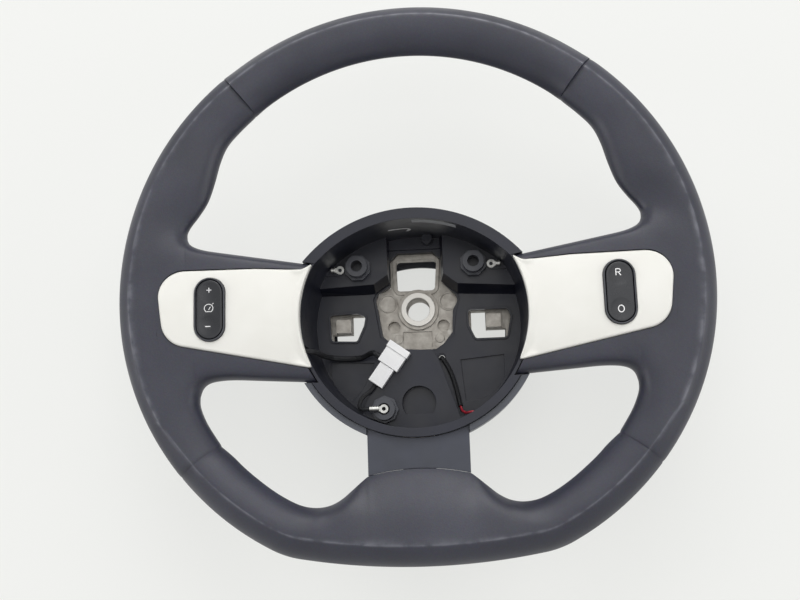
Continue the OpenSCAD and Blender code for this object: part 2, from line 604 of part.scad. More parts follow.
module carrier() color(shell_colour) {
    difference() {
        union() {
            difference() {
                tray_form(skin, floor_z - skin, low_wall_z);
                tray_form(0, floor_z, ring_z + over);
            }
            deck(deck_right_foot, deck_right);
            deck(deck_left_foot, deck_left);
            on_floor(dome_up) polygon(dome);
            on_floor(bump_up) translate(bump_at) circle(bump_r);
            for (h = [left_hook, right_hook]) on_floor(lip_up) hook_form(h, lip_w);
            for (side = [-1, 1]) terminal_pad(side);
            translate([0, 0, floor_z - skin - basin_deep]) for (b = [left_basin, right_basin])
                linear_extrude(skin) offset(delta = skin) polygon(b);
        }
        under_deck(deck_right_foot, deck_right);
        under_deck(deck_left_foot, deck_left);
        difference() {
            intersection() {
                tray_form(-skin, floor_z - skin - over, ring_z);
                translate([0, 0, floor_z - skin - over]) linear_extrude(dome_up + over)
                    offset(delta = -skin) polygon(dome);
            }
            translate([recess_x, recess_y, 0]) cylinder(h = rim_z, r = recess_r + skin);
        }
        translate([recess_x, recess_y, floor_z + dome_up - recess_deep]) intersection() {
            cylinder(h = rim_z, r = recess_r);
            translate([-rim_r, -recess_flat, 0]) cube(2 * rim_r);
        }
        translate([0, 0, floor_z - skin - over]) linear_extrude(skin + 2 * over) intersection() {
            polygon(plate_cut);
            translate([-rim_r, -rim_r]) square([2 * rim_r, rim_r + 40]);
        }
        translate([0, 0, floor_z - skin - over]) linear_extrude(skin + lip_up + 2 * over)
            for (h = [left_hook, right_hook]) hook_form(h, 0);
        translate([0, 0, floor_z - basin_deep]) for (b = [left_basin, right_basin])
            linear_extrude(basin_deep + over) polygon(b);
        translate([lead_hole_at[0], lead_hole_at[1], 0]) cylinder(h = floor_z + over, r = lead_hole_r);
        for (n = lead_notches) translate([min(n[0], 0), n[1], n[2]]) cube([abs(n[0]), n[3], rim_z]);
    }
    difference() {
        translate([0, 0, ring_under_z]) linear_extrude(ring_t) difference() {
            intersection() {
                translate(hub_top_c) circle(hub_top_r);
                translate(hub_low_c) circle(hub_low_r);
            }
            intersection() {
                translate(hub_top_c) circle(hub_top_r - ring_w);
                translate(hub_low_c) circle(hub_low_r + over);
            }
            translate([-rim_r, -2 * rim_r]) square(2 * rim_r);
        }
        spoke_room(turn_z);
    }
    difference() {
        translate([0, 0, ring_under_z]) linear_extrude(ring_t) difference() {
            translate(hub_low_c) circle(ring_out_r);
            translate(hub_low_c) circle(ring_in_r);
            translate([-rim_r, -spoke_low_y]) square(2 * rim_r);
        }
        spoke_room(turn_z);
    }
    for (side = [-1, 1]) translate([side * foot_x, -hub_drop, plate_z])
        cylinder(h = floor_z - skin - plate_z, r = foot_r);
}
foot_x = 30;
foot_r = 3.2;
lead_notches = [[-rim_r / 2, -34, rim_z - 14, 5.4]];
pad_w = 7.2;
pad_x = bush_span / 2 + bush_r + bush_flange;
terminal_y = bush_y - 0.8;

// Cast armature: hub plate with a window, boss, ears, and arms to the three spokes

plate_shape = [[-18, 15.5], [-18, 33], [-12.5, 38.2], [11, 38.2], [16.5, 33], [16.5, 18], [26, 8.5],
    [27, 4.5], [23.5, -2], [22.5, -16.5], [17, -24], [11.3, -27.8], [-10, -27.8], [-18.5, -23], [-24.1, -18],
    [-26.3, -4.5], [-28, 7], [-26, 11.5]];
window_low = [10.2, 15.5];
window_high = [11, 31.6];
window_round = 2.6;
ear_x = 20.2;
ear_y = 5.2;
dimple_x = 16.5;
dimple_y = -11.2;
arm_shape = [[10, 8], [34, 6], [60, 0], [riser_foot_out_x - 1, -hub_drop + arm_w / 2],
    [riser_foot_out_x - 1, -hub_drop - arm_w / 2], [60, -27], [34, -31], [10, -27]];
arm_end_z = rim_z - pocket_deep;
arm_end_x = rim_r - pod_margin - pod_w / 2 - 4;
hook_hole = [[35, -2.6], [44.5, -2.6], [44.5, -14.8], [58, -14.8], [58, -23], [35, -23]];
hook_tab = [[44.8, -5.6], [54.8, -5.6], [54.8, -14.6], [44.8, -14.6]];

module window_form(grow, h) linear_extrude(h) hull() {
    for (side = [-1, 1]) {
        translate([side * window_low[0] - 1, window_low[1]]) circle(window_round + grow);
        translate([side * window_high[0] - 0.5, window_high[1]]) circle(window_round + grow);
    }
}
module side_arm() {
    translate([0, 0, plate_z - plate_t]) linear_extrude(plate_t) difference() {
        polygon(arm_shape);
        polygon(hook_hole);
    }
    translate([0, 0, plate_z - over]) linear_extrude(floor_z - plate_z + over) polygon(hook_tab);
    translate([0, -hub_drop + arm_w / 2, 0]) rotate([90, 0, 0]) linear_extrude(arm_w) polygon([
        [riser_foot_in_x - 6, plate_z - plate_t], [riser_foot_out_x, plate_z - plate_t],
        [riser_out_x, turn_z], [riser_out_x, arm_end_z], [arm_end_x, arm_end_z],
        [arm_end_x, arm_end_z + arm_end_t], [riser_in_x, arm_end_z + arm_end_t], [riser_in_x, turn_z],
        [riser_foot_in_x, floor_z - skin], [riser_foot_in_x - 1, plate_z], [riser_foot_in_x - 6, plate_z]]);
}
module low_arm() translate([-low_arm_w / 2, 0, 0]) rotate([90, 0, 90]) linear_extrude(low_arm_w)
    polygon([[-20, plate_z - plate_t], [-hub_drop - low_riser_out + cover_taper, plate_z - plate_t],
        [-hub_drop - low_riser_out, turn_z], [-hub_drop - low_riser_out, low_arm_z],
        [-low_arm_end_y, low_arm_z], [-low_arm_end_y, low_arm_z + arm_end_t],
        [-hub_drop - low_riser_in, low_arm_z + arm_end_t], [-hub_drop - low_riser_in, turn_z],
        [-hub_drop - low_riser_in + carrier_taper, floor_z - skin],
        [-hub_drop - low_riser_in + carrier_taper + 1, plate_z], [-20, plate_z]]);

module armature() color(metal_colour) difference() {
    union() {
        translate([0, 0, plate_z - plate_t]) linear_extrude(plate_t) polygon(plate_shape);
        for (side = [-1, 1]) translate([side * ear_x, ear_y, plate_z - plate_t])
            cylinder(h = plate_t + 0.8, r = 6.2);
        for (side = [-1, 1]) translate([side * 13.8, -19.5, plate_z - plate_t])
            cylinder(h = plate_t + 0.4, r = 3);
        cylinder(h = boss_h - 1.4, r = boss_r);
        cylinder(h = boss_h, r = nut_seat_r);
        translate([0, 0, plate_z - plate_t]) window_form(2.4, plate_t + 1.4);
        for (side = [0, 1]) mirror([side, 0, 0]) side_arm();
        low_arm();
    }
    difference() {
        translate([0, 0, -over]) window_form(0, boss_h + 2 * over);
        cylinder(h = boss_h, r = boss_r);
    }
    translate([0, 0, -over]) cylinder(h = boss_h + 2 * over, r = bore_r);
    for (side = [-1, 1]) {
        translate([side * ear_x, ear_y, plate_z]) cylinder(h = 2, r = 5.2);
        translate([side * dimple_x, dimple_y, plate_z - 4]) cylinder(h = 5, r = 4);
    }
    translate([-10.6, -25.7, plate_z - 0.6]) cube([19.1, 10.9, 2]);
}

// Trims of the side spokes

crown_c_z = rim_z + grip_front + trim_proud - trim_crown_r;
trim_top_dip = 2.4;
trim_bow_x = 97;
trim_tip = [[spoke_end_x, trim_top_y + 2.6], [62.2, trim_top_y + 1.5], [68.5, trim_top_y - 1.8],
    [68.5, trim_top_y - 6], [spoke_end_x, trim_top_y - 6]];
module trim_outline(inset) {
    difference() {
        if (inset <= 0) offset(delta = -inset) polygon(trim_tip);
        translate(hub_low_c) circle(ring_in_r + 0.2 + inset);
    }
    difference() {
        intersection() {
            hull() {
                translate([spoke_end_x, trim_top_y - trim_top_dip - inset - 1]) square([1, 1]);
                translate([trim_bow_x, trim_top_y - inset - 1]) square([1, 1]);
                translate([spoke_end_x, -trim_hub_y + inset - 1.6]) square([1, 1]);
                translate([trim_end_x - trim_corner_r - 1.5, trim_top_y - trim_corner_r])
                    circle(trim_corner_r - inset);
                translate([trim_end_x - trim_corner_r - 3.5, -trim_low_y + trim_corner_r - 1])
                    circle(trim_corner_r - inset);
            }
            translate([0, rim_lift]) circle(trim_end_x - inset);
        }
        translate(hub_low_c) circle(ring_in_r + 0.2 + inset);
    }
}
module crown(r) translate([trim_end_x, -hub_drop, crown_c_z]) rotate([0, -90 - fall_angle, 0])
    translate([0, 0, -trim_corner_r]) cylinder(h = rim_r, r = r, $fn = 360);
module trim() difference() {
    intersection() {
        translate([0, 0, rim_z - pocket_deep]) linear_extrude(2 * grip_front + pocket_deep) trim_outline(0);
        crown(trim_crown_r);
    }
    intersection() {
        translate([0, 0, rim_z - pocket_deep - over]) linear_extrude(2 * grip_front + pocket_deep)
            trim_outline(trim_wall);
        crown(trim_crown_r - trim_wall);
    }
    at_low_hub(0) cylinder(h = ring_z + fit_gap, r = trim_foot_r);
    translate([pod_x, -pod_y, rim_z - pocket_deep]) linear_extrude(3 * grip_front) pod_form(-fit_gap);
}
trim_foot_r = low_riser_out + 2;
module left_trim() color(trim_colour) mirror([1, 0, 0]) trim();
module right_trim() color(trim_colour) trim();

// Switch pods: a bezel with a floor, and a rocker on two pivot pins

pod_x = rim_r - pod_margin;
pod_top_z = rim_z + spoke_front(pod_x) + trim_proud + pod_proud;
pod_low_z = pod_top_z - pod_h;
pivot_z = pod_top_z - rocker_t + 1.2;
module pod_form(inset) hull() for (side = [-1, 1]) translate([0, side * (pod_l - pod_w) / 2])
    circle(pod_w / 2 - inset);
module switch_housing() translate([pod_x, -pod_y, pod_low_z]) difference() {
    linear_extrude(pod_h) pod_form(0);
    translate([0, 0, 2]) linear_extrude(pod_h) pod_form(pod_wall);
    translate([-pod_w / 2 - over, 0, pivot_z - pod_low_z]) rotate([0, 90, 0])
        cylinder(h = pod_w + 2 * over, r = pivot_r + pivot_gap);
}
module rocker() translate([pod_x, -pod_y, 0]) {
    difference() {
        translate([0, 0, pod_top_z - rocker_t - 0.2]) linear_extrude(rocker_t)
            pod_form(pod_wall + rocker_gap);
        for (side = [-1, 1]) translate([0, side * (pod_l - pod_w) / 2,
            pod_top_z - 0.2 - dish_deep + (dish_r * dish_r + dish_deep * dish_deep) / (2 * dish_deep)])
            sphere((dish_r * dish_r + dish_deep * dish_deep) / (2 * dish_deep));
    }
    translate([-pod_w / 2 + 0.2, 0, pivot_z]) rotate([0, 90, 0]) cylinder(h = pod_w - 0.4, r = pivot_r);
}
module left_switch_housing() color(shell_colour) mirror([1, 0, 0]) switch_housing();
module right_switch_housing() color(shell_colour) switch_housing();
module left_rocker() color(key_colour) mirror([1, 0, 0]) rocker();
module right_rocker() color(key_colour) rocker();

// Lower spoke's panel: a plate with side skirts

panel_top_z = rim_z;
panel_deep = rim_z - low_arm_z;
module lower_panel() color(shell_colour) difference() {
    translate([-panel_w / 2, -flange_y - 10, panel_top_z - panel_deep])
        cube([panel_w, flange_y + 10 - hub_drop, panel_deep]);
    translate([-panel_w / 2 + panel_t, -flange_y - 11, panel_top_z - panel_deep - over])
        cube([panel_w - 2 * panel_t, flange_y + 12, panel_deep + over - panel_t]);
    translate([0, flange_c[1] + rim_lift, 0]) cylinder(h = 2 * rim_z, r = flange_r + fit_gap, $fn = 360);
    at_low_hub(0) cylinder(h = 2 * rim_z, r = ring_out_r + shell_gap);
}

// Guide bushes for the airbag, and their contact terminals

module bush(x, y, z, turn) translate([x, y, z]) difference() {
    union() {
        cylinder(h = bush_h, r = bush_r);
        rotate(turn) cylinder(h = bush_h * 0.4, r = bush_r + bush_flange, $fn = 8);
    }
    translate([0, 0, -over]) cylinder(h = bush_h + 2 * over, r = bush_bore_r);
}
flat_turn = 360 / 16;
module left_guide_bush() color(key_colour)
    bush(-bush_span / 2, bush_y, floor_z + deck_up, flat_turn);
module right_guide_bush() color(key_colour)
    bush(bush_span / 2, bush_y, floor_z + deck_up, flat_turn);
module lower_guide_bush() color(key_colour) bush(-low_bush_x, -low_bush_y, floor_z + dome_up, 0);

terminal_t = 0.8;
terminal_w = 4.6;
barrel_r = 1.7;
barrel_from = 5.2;
eye_x = 2.2;
eye_r = 2.8;
module terminal(barrel_l) {
    difference() {
        union() {
            translate([eye_x, 0, 0]) cylinder(h = terminal_t, r = eye_r);
            translate([eye_x, -terminal_w / 2 + 0.8, 0]) cube([4, terminal_w - 1.6, terminal_t]);
            translate([barrel_from, 0, barrel_r]) rotate([0, 90, 0]) cylinder(h = barrel_l, r = barrel_r);
        }
        translate([eye_x, 0, -over]) cylinder(h = 3, r = 1.2);
    }
}
top_barrel_l = 2.8;
low_barrel_l = 6;
terminal_x = pad_x + 0.5;
terminal_z = floor_z + deck_up + pad_up;
low_terminal_x = -low_bush_x + eye_x;
module left_terminal() color(steel_colour) translate([-terminal_x, terminal_y, terminal_z])
    mirror([1, 0, 0]) terminal(top_barrel_l);
module right_terminal() color(steel_colour) translate([terminal_x, terminal_y, terminal_z])
    terminal(top_barrel_l);
module lower_terminal() color(steel_colour)
    translate([low_terminal_x, -low_bush_y, floor_z + dome_up + bush_h]) mirror([1, 0, 0])
        terminal(low_barrel_l);

// Connector pair of the horn's lead, lying on the dome

join_turn = -36;
join_z = floor_z + dome_up;
module at_join() translate([-15.4, -33.7, join_z]) rotate(join_turn) children();
module socket_housing() color(white_nylon) at_join() difference() {
    union() {
        translate([-7.3, -7.5, 0]) cube([14.6, 15, 7]);
        translate([-7.8, 3, 0]) cube([15.6, 4.5, 7.6]);
    }
    translate([-5, -8.5, 1]) cube([10, 12, 5]);
}
module plug_housing() color(white_nylon) at_join() union() {
    translate([-4.7, -21.5, 1.3]) cube([9.4, 24, 4.4]);
    translate([-5.1, -21.5, 0]) cube([10.2, 13.7, 6.4]);
}

// Leads: round sleeves along a smoothed route

function curve3(l, n) = [for (i = [0:len(l) - 2], k = [0:n - 1])
    hook_curve(l[max(i - 1, 0)], l[i], l[i + 1], l[min(i + 2, len(l) - 1)], k / n), l[len(l) - 1]];
module lead(route, r, up, n) {
    pts = curve3(route, n);
    last = len(pts) - 1;
    sides = 8;
    rings = [for (i = [0:last]) let (t = pts[min(i + 1, last)] - pts[max(i - 1, 0)], d = t / norm(t),
        a = cross(d, up) / norm(cross(d, up)), b = cross(d, a))
        each [for (k = [0:sides - 1]) pts[i] + r * (a * cos(k * 360 / sides) + b * sin(k * 360 / sides))]];
    polyhedron(points = rings, faces = concat(
        [[for (k = [0:sides - 1]) k]], [[for (k = [sides - 1:-1:0]) last * sides + k]],
        [for (i = [0:last - 1], k = [0:sides - 1]) let (m = (k + 1) % sides)
            each [[(i + 1) * sides + m, i * sides + m, i * sides + k],
                [(i + 1) * sides + k, (i + 1) * sides + m, i * sides + k]]]), convexity = 6);
}
lead_out_x = pod_x - 17;
function along_arm(share, y, z) = [-mix(ring_in_r, lead_out_x, share), y, z];
left_route = [[7.86 - pod_x, -21.2, 78.6], [11.9 - pod_x, -24, 78], [-lead_out_x, -26.6, 73.6],
    along_arm(0.842, -29, 70.2), along_arm(0.474, -31, 69.5), along_arm(0.184, -31.3, 69.5),
    along_arm(0, -31.4, 69.6), [-65.5, -31.4, 67], [-63, -31.3, 58], [-62, -31.2, 42],
    [-57, -31.6, 30], [-46, -32.4, 27.3], [-37, -32, 29.5], [-31, -30.3, 36.5], [-27.6, -31.2, 41.5],
    [-24.5, -33.6, 42.3]];
module left_lead() color(key_colour) lead(left_route, 1.8, [0, 1, 0], 2);
plug_route = [[-28.2, -51.3, 42.2], [-31.5, -55.5, 42.2], [-36.5, -59.5, 43], [-38.3, -64.5, 46],
    [-37, -67.3, 49.5], [-34.2, -67.6, 50.7],
    [low_terminal_x - barrel_from - low_barrel_l - 0.15, -67.6, 50.7]];
module plug_lead() color(key_colour) lead(plug_route, 1.3, [0, 0, 1], 3);
right_route = [[10.05, -34, 13.4], [10.9, -34, 13.4], [11.8, -34, 13.4], [13.2, -34, 14.2], [14.4, -33.8, 17],
    [14.6, -33.6, 22], [15.4, -34.6, 26.7], [17.9, -38.6, 26.9], [20.9, -45.3, 26.8], [23.3, -53.5, 26.8],
    [24.8, -61, 26.9], [25.8, -66, 28]];
module right_lead() color(key_colour) lead(right_route, 1.6, [0.3, 0.1, 1], 2);
red_route = [[25.82, -66.12, 28.04], [26.4, -68.4, 29], [27.8, -70, 30.6], [30, -70.8, 32.2],
    [33, -70.3, 33.4], [36.6, -70.9, 34]];
module red_lead() color("#b3262f") lead(red_route, 0.8, [0, 0, 1], 3);

armature();
rear_cover();
carrier();
rim_top();
rim_left();
rim_right();
rim_bottom();
lower_panel();
left_trim();
right_trim();
left_switch_housing();
right_switch_housing();
left_rocker();
right_rocker();
left_guide_bush();
right_guide_bush();
lower_guide_bush();
left_terminal();
right_terminal();
lower_terminal();
socket_housing();
plug_housing();
left_lead();
plug_lead();
right_lead();
red_lead();
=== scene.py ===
"""Car steering wheel without its airbag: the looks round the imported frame."""

import math

import bmesh
import bpy
import numpy as np
from mathutils import Matrix, Vector


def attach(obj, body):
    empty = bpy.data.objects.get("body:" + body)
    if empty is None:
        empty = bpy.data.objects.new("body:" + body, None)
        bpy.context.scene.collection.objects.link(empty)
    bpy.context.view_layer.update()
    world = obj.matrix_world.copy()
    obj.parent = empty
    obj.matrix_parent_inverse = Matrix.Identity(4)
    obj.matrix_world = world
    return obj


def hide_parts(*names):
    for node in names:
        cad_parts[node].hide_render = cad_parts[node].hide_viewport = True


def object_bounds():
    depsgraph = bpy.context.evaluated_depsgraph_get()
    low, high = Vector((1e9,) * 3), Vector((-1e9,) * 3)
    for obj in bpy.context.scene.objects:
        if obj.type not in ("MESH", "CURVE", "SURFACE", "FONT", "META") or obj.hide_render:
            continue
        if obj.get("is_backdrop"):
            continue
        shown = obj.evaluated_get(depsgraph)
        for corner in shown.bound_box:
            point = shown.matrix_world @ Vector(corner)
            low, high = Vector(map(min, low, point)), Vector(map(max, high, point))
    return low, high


bl_info = {
    "name": "Car steering wheel",
    "version": (1, 0, 0),
    "blender": (4, 5, 0),
    "location": "View3D > Sidebar > Wheel",
    "description": "Builds the visible pieces of a car steering wheel round its CAD frame",
    "category": "Object",
}

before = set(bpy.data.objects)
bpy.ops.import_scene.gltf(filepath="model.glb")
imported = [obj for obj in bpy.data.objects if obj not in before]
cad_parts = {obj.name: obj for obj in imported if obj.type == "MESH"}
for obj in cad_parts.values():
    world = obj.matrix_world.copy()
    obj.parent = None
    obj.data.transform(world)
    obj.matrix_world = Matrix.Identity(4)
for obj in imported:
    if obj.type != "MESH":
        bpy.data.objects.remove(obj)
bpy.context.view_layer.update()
MM = 0.001

# Main measures of the wheel, in millimetres, as the part's source has them
RIM_R = 185.0
RIM_Z = 75.0
RIM_LIFT = 4.0
GRIP_W = 32.5
GRIP_FRONT = 14.0
GRIP_REAR = 14.5
CREASE_IN = 9.5
CREASE_IN_LOW = 13.0
CREASE_TURN = 80.0
SIDE_PULL = 9.5
BOTTOM_DROP = 168.0
BOTTOM_R = 420.0
CORNER_R = 60.0
THUMB_OUT = 9.5
SEAM_HIGH = 50.5
SEAM_LOW = 37.5
SEAM_DEPTH = 0.4
SEAM_RUN = 0.6
SPOKE_TOP_Y = 23.2
SPOKE_LOW_Y = 52.0
SPOKE_FALL = 5.0
SPOKE_ROUND = 8.0
SPOKE_END_X = 58.0
POCKET_DEEP = 8.0
HUB_DROP = 12.0
RING_IN_R = 70.0
WALL_OUT_R = 72.0
TRIM_END_X = RIM_R - 26.3
TRIM_TOP_Y = 19.8
TRIM_LOW_Y = 27.0
TRIM_HUB_Y = 43.0
TRIM_CORNER_R = 16.0
TRIM_CROWN_R = 200.0
TRIM_PROUD = 0.6
TRIM_WALL = 2.4
TRIM_DIP = 2.4
TRIM_BOW_X = 97.0
TRIM_TIP = ((68.5, 18.0), (62.2, 21.3))
TRIM_EDGE = 1.3
TRIM_LIP = 1.1
TRIM_LIP_W = 4.5
TRIM_FOOT_R = 78.3
RING_Z = 79.0
GAP = 0.3
POD_X = 125.0
POD_Y = 5.4
POD_W = 19.0
POD_L = 39.6
POD_H = 12.5
POD_WALL = 0.9
POD_PROUD = 1.0
POD_EDGE = 0.35
POD_INNER_EDGE = 0.2
KEY_EDGE = 0.7
KEY_GAP = 0.5
KEY_T = 6.0
KEY_LOW = 0.2
PIVOT_R = 1.2
PIVOT_GAP = 0.1
DISH_R = 6.6
DISH_DEEP = 0.6
WALL_TOP_R = 83.2
WALL_TOP_Y = -35.0
BORE_R = 7.9
BOSS_H = 20.0
SEAT_R = 11.3
BARREL_R = 1.7
# Middle of the first crimp on each terminal's barrel, the pitch along X and the count
CRIMPS = (("left", (-53.2, 25.2, 39.9), -1.45, 2), ("right", (53.2, 25.2, 39.9), 1.45, 2),
          ("lower", (-26.3, -67.6, 50.7), -1.45, 4))
FLOOR_Z = 25.0
PLATE_Z = 17.0
PLATE_OUTLINE = ((-18, 15.5), (-18, 33), (-12.5, 38.2), (11, 38.2), (16.5, 33), (16.5, 18), (26, 8.5),
                 (27, 4.5), (23.5, -2), (22.5, -16.5), (17, -24), (11.3, -27.8), (-10, -27.8), (-18.5, -23),
                 (-24.1, -18), (-26.3, -4.5), (-28, 7), (-26, 11.5))
PLATE_CUT = ((-18.5, 40), (-18.5, 17), (-27, 12.5), (-29.5, 7), (-27.5, -6), (-25.5, -18.5), (-13, -28.6),
             (12, -28.6), (23.5, -18.5), (25.5, -4), (28, 5), (26.5, 12), (17.5, 17), (17.5, 40))
LEAD_HOLE = np.array([14.6, -33.6])
LEAD_HOLE_R = 2.0
LEAD_HOLE_LIP = 0.8
FLANGE_Y = 106.2
FLANGE_R = 130.0
FLANGE_UP = 1.5
PANEL_W = 62.0
SPOKE_REAR = GRIP_REAR - 1.5
FLANGE_REAR = GRIP_REAR - 3.5
SEAM_SHARE = 1 - 2 * SEAM_DEPTH / GRIP_W
SEAM_TURN = math.degrees(SEAM_RUN / (RIM_R - GRIP_W / 2))


def mix(a, b, t):
    """The value between a and b at share t."""
    return a + (b - a) * t


def quarter(s):
    """Height of a quarter round at share s of its reach."""
    s = np.clip(s, 0.0, 1.0)
    return np.sqrt(np.maximum(0.0, 1.0 - (1.0 - s) ** 2))


def ease(t):
    """Smooth step."""
    k = np.clip(t, 0.0, 1.0)
    return k * k * (3 - 2 * k)


def on_arc(centre, radius, angle):
    """Point on a circle, the angle in degrees."""
    a = math.radians(angle)
    return np.array([centre[0] + radius * math.cos(a), centre[1] + radius * math.sin(a)])


def smooth(rows, n):
    """Catmull-Rom rows through the given ones, n steps to a span."""
    rows = np.asarray(rows, float)
    out = []
    for i in range(len(rows) - 1):
        a, b = rows[max(i - 1, 0)], rows[i]
        c, d = rows[i + 1], rows[min(i + 2, len(rows) - 1)]
        for k in range(n):
            t = k / n
            out.append(
                0.5 * (2 * b + (c - a) * t + (2 * a - 5 * b + 4 * c - d) * t * t
                       + (3 * b - a - 3 * c + d) * t ** 3)
            )
    out.append(rows[-1])
    return np.array(out)


SIDE_C = np.array([SIDE_PULL, 0.0])
SIDE_R = RIM_R - SIDE_PULL
FLAT_C = np.array([0.0, BOTTOM_R - BOTTOM_DROP])


def corner_centre():
    """Centre of the round corner that touches the lower side's arc and the flat bottom's."""
    d = FLAT_C - SIDE_C
    length = np.hypot(*d)
    r1, r2 = SIDE_R - CORNER_R, BOTTOM_R - CORNER_R
    a = (r1 * r1 - r2 * r2 + length * length) / (2 * length)
    h = math.sqrt(r1 * r1 - a * a)
    return SIDE_C + d * a / length + np.array([d[1], -d[0]]) * h / length


CORNER_C = corner_centre()
CORNER_FROM = math.degrees(math.atan2(*(CORNER_C - SIDE_C)[::-1]))
CORNER_TO = math.degrees(math.atan2(*(CORNER_C - FLAT_C)[::-1]))


def facing(angle):
    """Direction in which the lower side's arc faces at a polar angle."""
    return angle + math.degrees(math.asin(SIDE_PULL * math.sin(math.radians(min(angle, 0))) / SIDE_R))


def outline(angle):
    """Point of the rim's outer edge, by the direction that it faces."""
    if angle >= 0:
        return on_arc((0, 0), RIM_R, angle)
    if angle >= CORNER_FROM:
        return on_arc(SIDE_C, SIDE_R, angle)
    if angle >= CORNER_TO:
        return on_arc(CORNER_C, CORNER_R, angle)
    return on_arc(FLAT_C, BOTTOM_R, angle)


def folded(p):
    """Points with the left half laid over the right half."""
    return np.stack([np.abs(p[:, 0]), p[:, 1]], 1)


def outer_gap(p):
    """Distance of points from the rim's outer edge."""
    q = folded(p)
    k = q - CORNER_C
    ak = np.degrees(np.arctan2(k[:, 1], k[:, 0]))
    nk = np.hypot(k[:, 0], k[:, 1])
    side = SIDE_R - np.hypot(*(q - SIDE_C).T)
    flat = BOTTOM_R - np.hypot(*(q - FLAT_C).T)
    low = np.where((ak < CORNER_FROM) & (ak > CORNER_TO) & (nk > CORNER_R / 2),
                   CORNER_R - nk, np.minimum(side, flat))
    return np.where(q[:, 1] >= 0, RIM_R - np.hypot(q[:, 0], q[:, 1]), low)


def crease_at(p):
    """Distance of the front crease from the outer edge at points."""
    p = np.atleast_2d(p)
    return mix(CREASE_IN, CREASE_IN_LOW, quarter(np.maximum(0, -p[:, 1] - CREASE_TURN) / CREASE_TURN))


CREASE_REACH = 18.0
# Width of the paler band along the front crease: partly wear from hands, partly a painted highlight
WEAR_AND_HIGHLIGHT_W = 0.95
FOLD_NEAR = 0.35
FOLD_SHARP = 0.8
FACE_FALL = 0.12
FACE_FALL_END = 8.0
CREST_IN = GRIP_W / 2


def front_share(p):
    """Share of the grip's full front height at points: a rise to the crease, then a slight fall."""
    d, c = outer_gap(p), crease_at(p)
    reach = np.maximum(CREASE_REACH, c + 1)
    rise = quarter(d / reach) / quarter(c / reach)
    fall = 1 - FACE_FALL * np.clip((d - c) / (GRIP_W - FACE_FALL_END - c), 0, 1)
    return np.where(d >= c, fall, rise)


def grip_front(p):
    """Height of the plain grip's front at points."""
    return GRIP_FRONT * front_share(p)


def grip_rear(p):
    """Depth of the plain grip's rear at points."""
    return GRIP_REAR * quarter(outer_gap(p) / CREST_IN)


def edge_share(p, path):
    """Least distance from points to a path, as a share of the path's own reach at that place."""
    best = np.full(len(p), 1e9)
    for a, b in zip(path[:-1], path[1:]):
        ab = b[:2] - a[:2]
        t = np.clip(((p - a[:2]) @ ab) / max(ab @ ab, 1e-9), 0, 1)
        gap = np.hypot(*(p - a[:2] - t[:, None] * ab).T)
        best = np.minimum(best, gap / mix(a[2], b[2], t))
    return best


OUTER_STEPS = (0, 0.02, 0.07, 0.16, 0.3, 0.5, 0.72, 0.91)
INNER_STEPS = (0.85, 0.66, 0.5, 0.36, 0.23, 0.13, 0.06, 0.015, 0)
MIDDLE_STEPS = 3
EDGE_REACH = 15.0


def across(o, i, c, even):
    """Stations from the outer edge point o over the crease at c to the inner one i, dense at both edges."""
    w = np.hypot(*(i - o))
    u = (i - o) / w
    e = min(EDGE_REACH, w - c - 2)
    free = w - c
    pts = [o + u * s * c for s in OUTER_STEPS] + [o + u * c, o + u * (c + 0.8)]
    for k in range(1, MIDDLE_STEPS + 1):
        pts.append(o + u * (c + (free - INNER_STEPS[0] * e) * k / (MIDDLE_STEPS + 1)))
    n = len(INNER_STEPS) + MIDDLE_STEPS
    for k, s in enumerate(INNER_STEPS):
        pts.append(o + u * mix(w - s * e, c + free * (k + MIDDLE_STEPS + 1) / n, even))
    return np.array(pts)


def grip_line(angle, inner, even=0):
    """Stations across the grip, from the outer edge that faces an angle to an inner point."""
    o = outline(angle)
    return across(o, inner, float(crease_at(o)[0]), even)


def inset_line(line):
    """A section's line drawn in towards its middle by the seam's depth."""
    m = (line[0] + line[-1]) / 2
    return m + (line - m) * SEAM_SHARE


def seamed(lines):
    """All points of a row of lines, with the first and the last line drawn in at their seams."""
    return np.concatenate([inset_line(lines[0]), *lines[1:-1], inset_line(lines[-1])])


def lower_seams(heights, per, count):
    """Brings the heights along the first and the last line down to the seam's depth."""
    for z in heights:
        z[:per] *= SEAM_SHARE
        z[(count - 1) * per:count * per] *= SEAM_SHARE


def grid(count, per):
    """Faces of a net of count lines with per points each."""
    return [(i * per + k, i * per + k + 1, (i + 1) * per + k + 1, (i + 1) * per + k)
            for i in range(count - 1) for k in range(per - 1)]


def end_caps(count, per):
    """Points along the first line, backwards, and along the last one, where the two seams close."""
    return [[k for k in range(per - 1, -1, -1)], [(count - 1) * per + k for k in range(per)]]


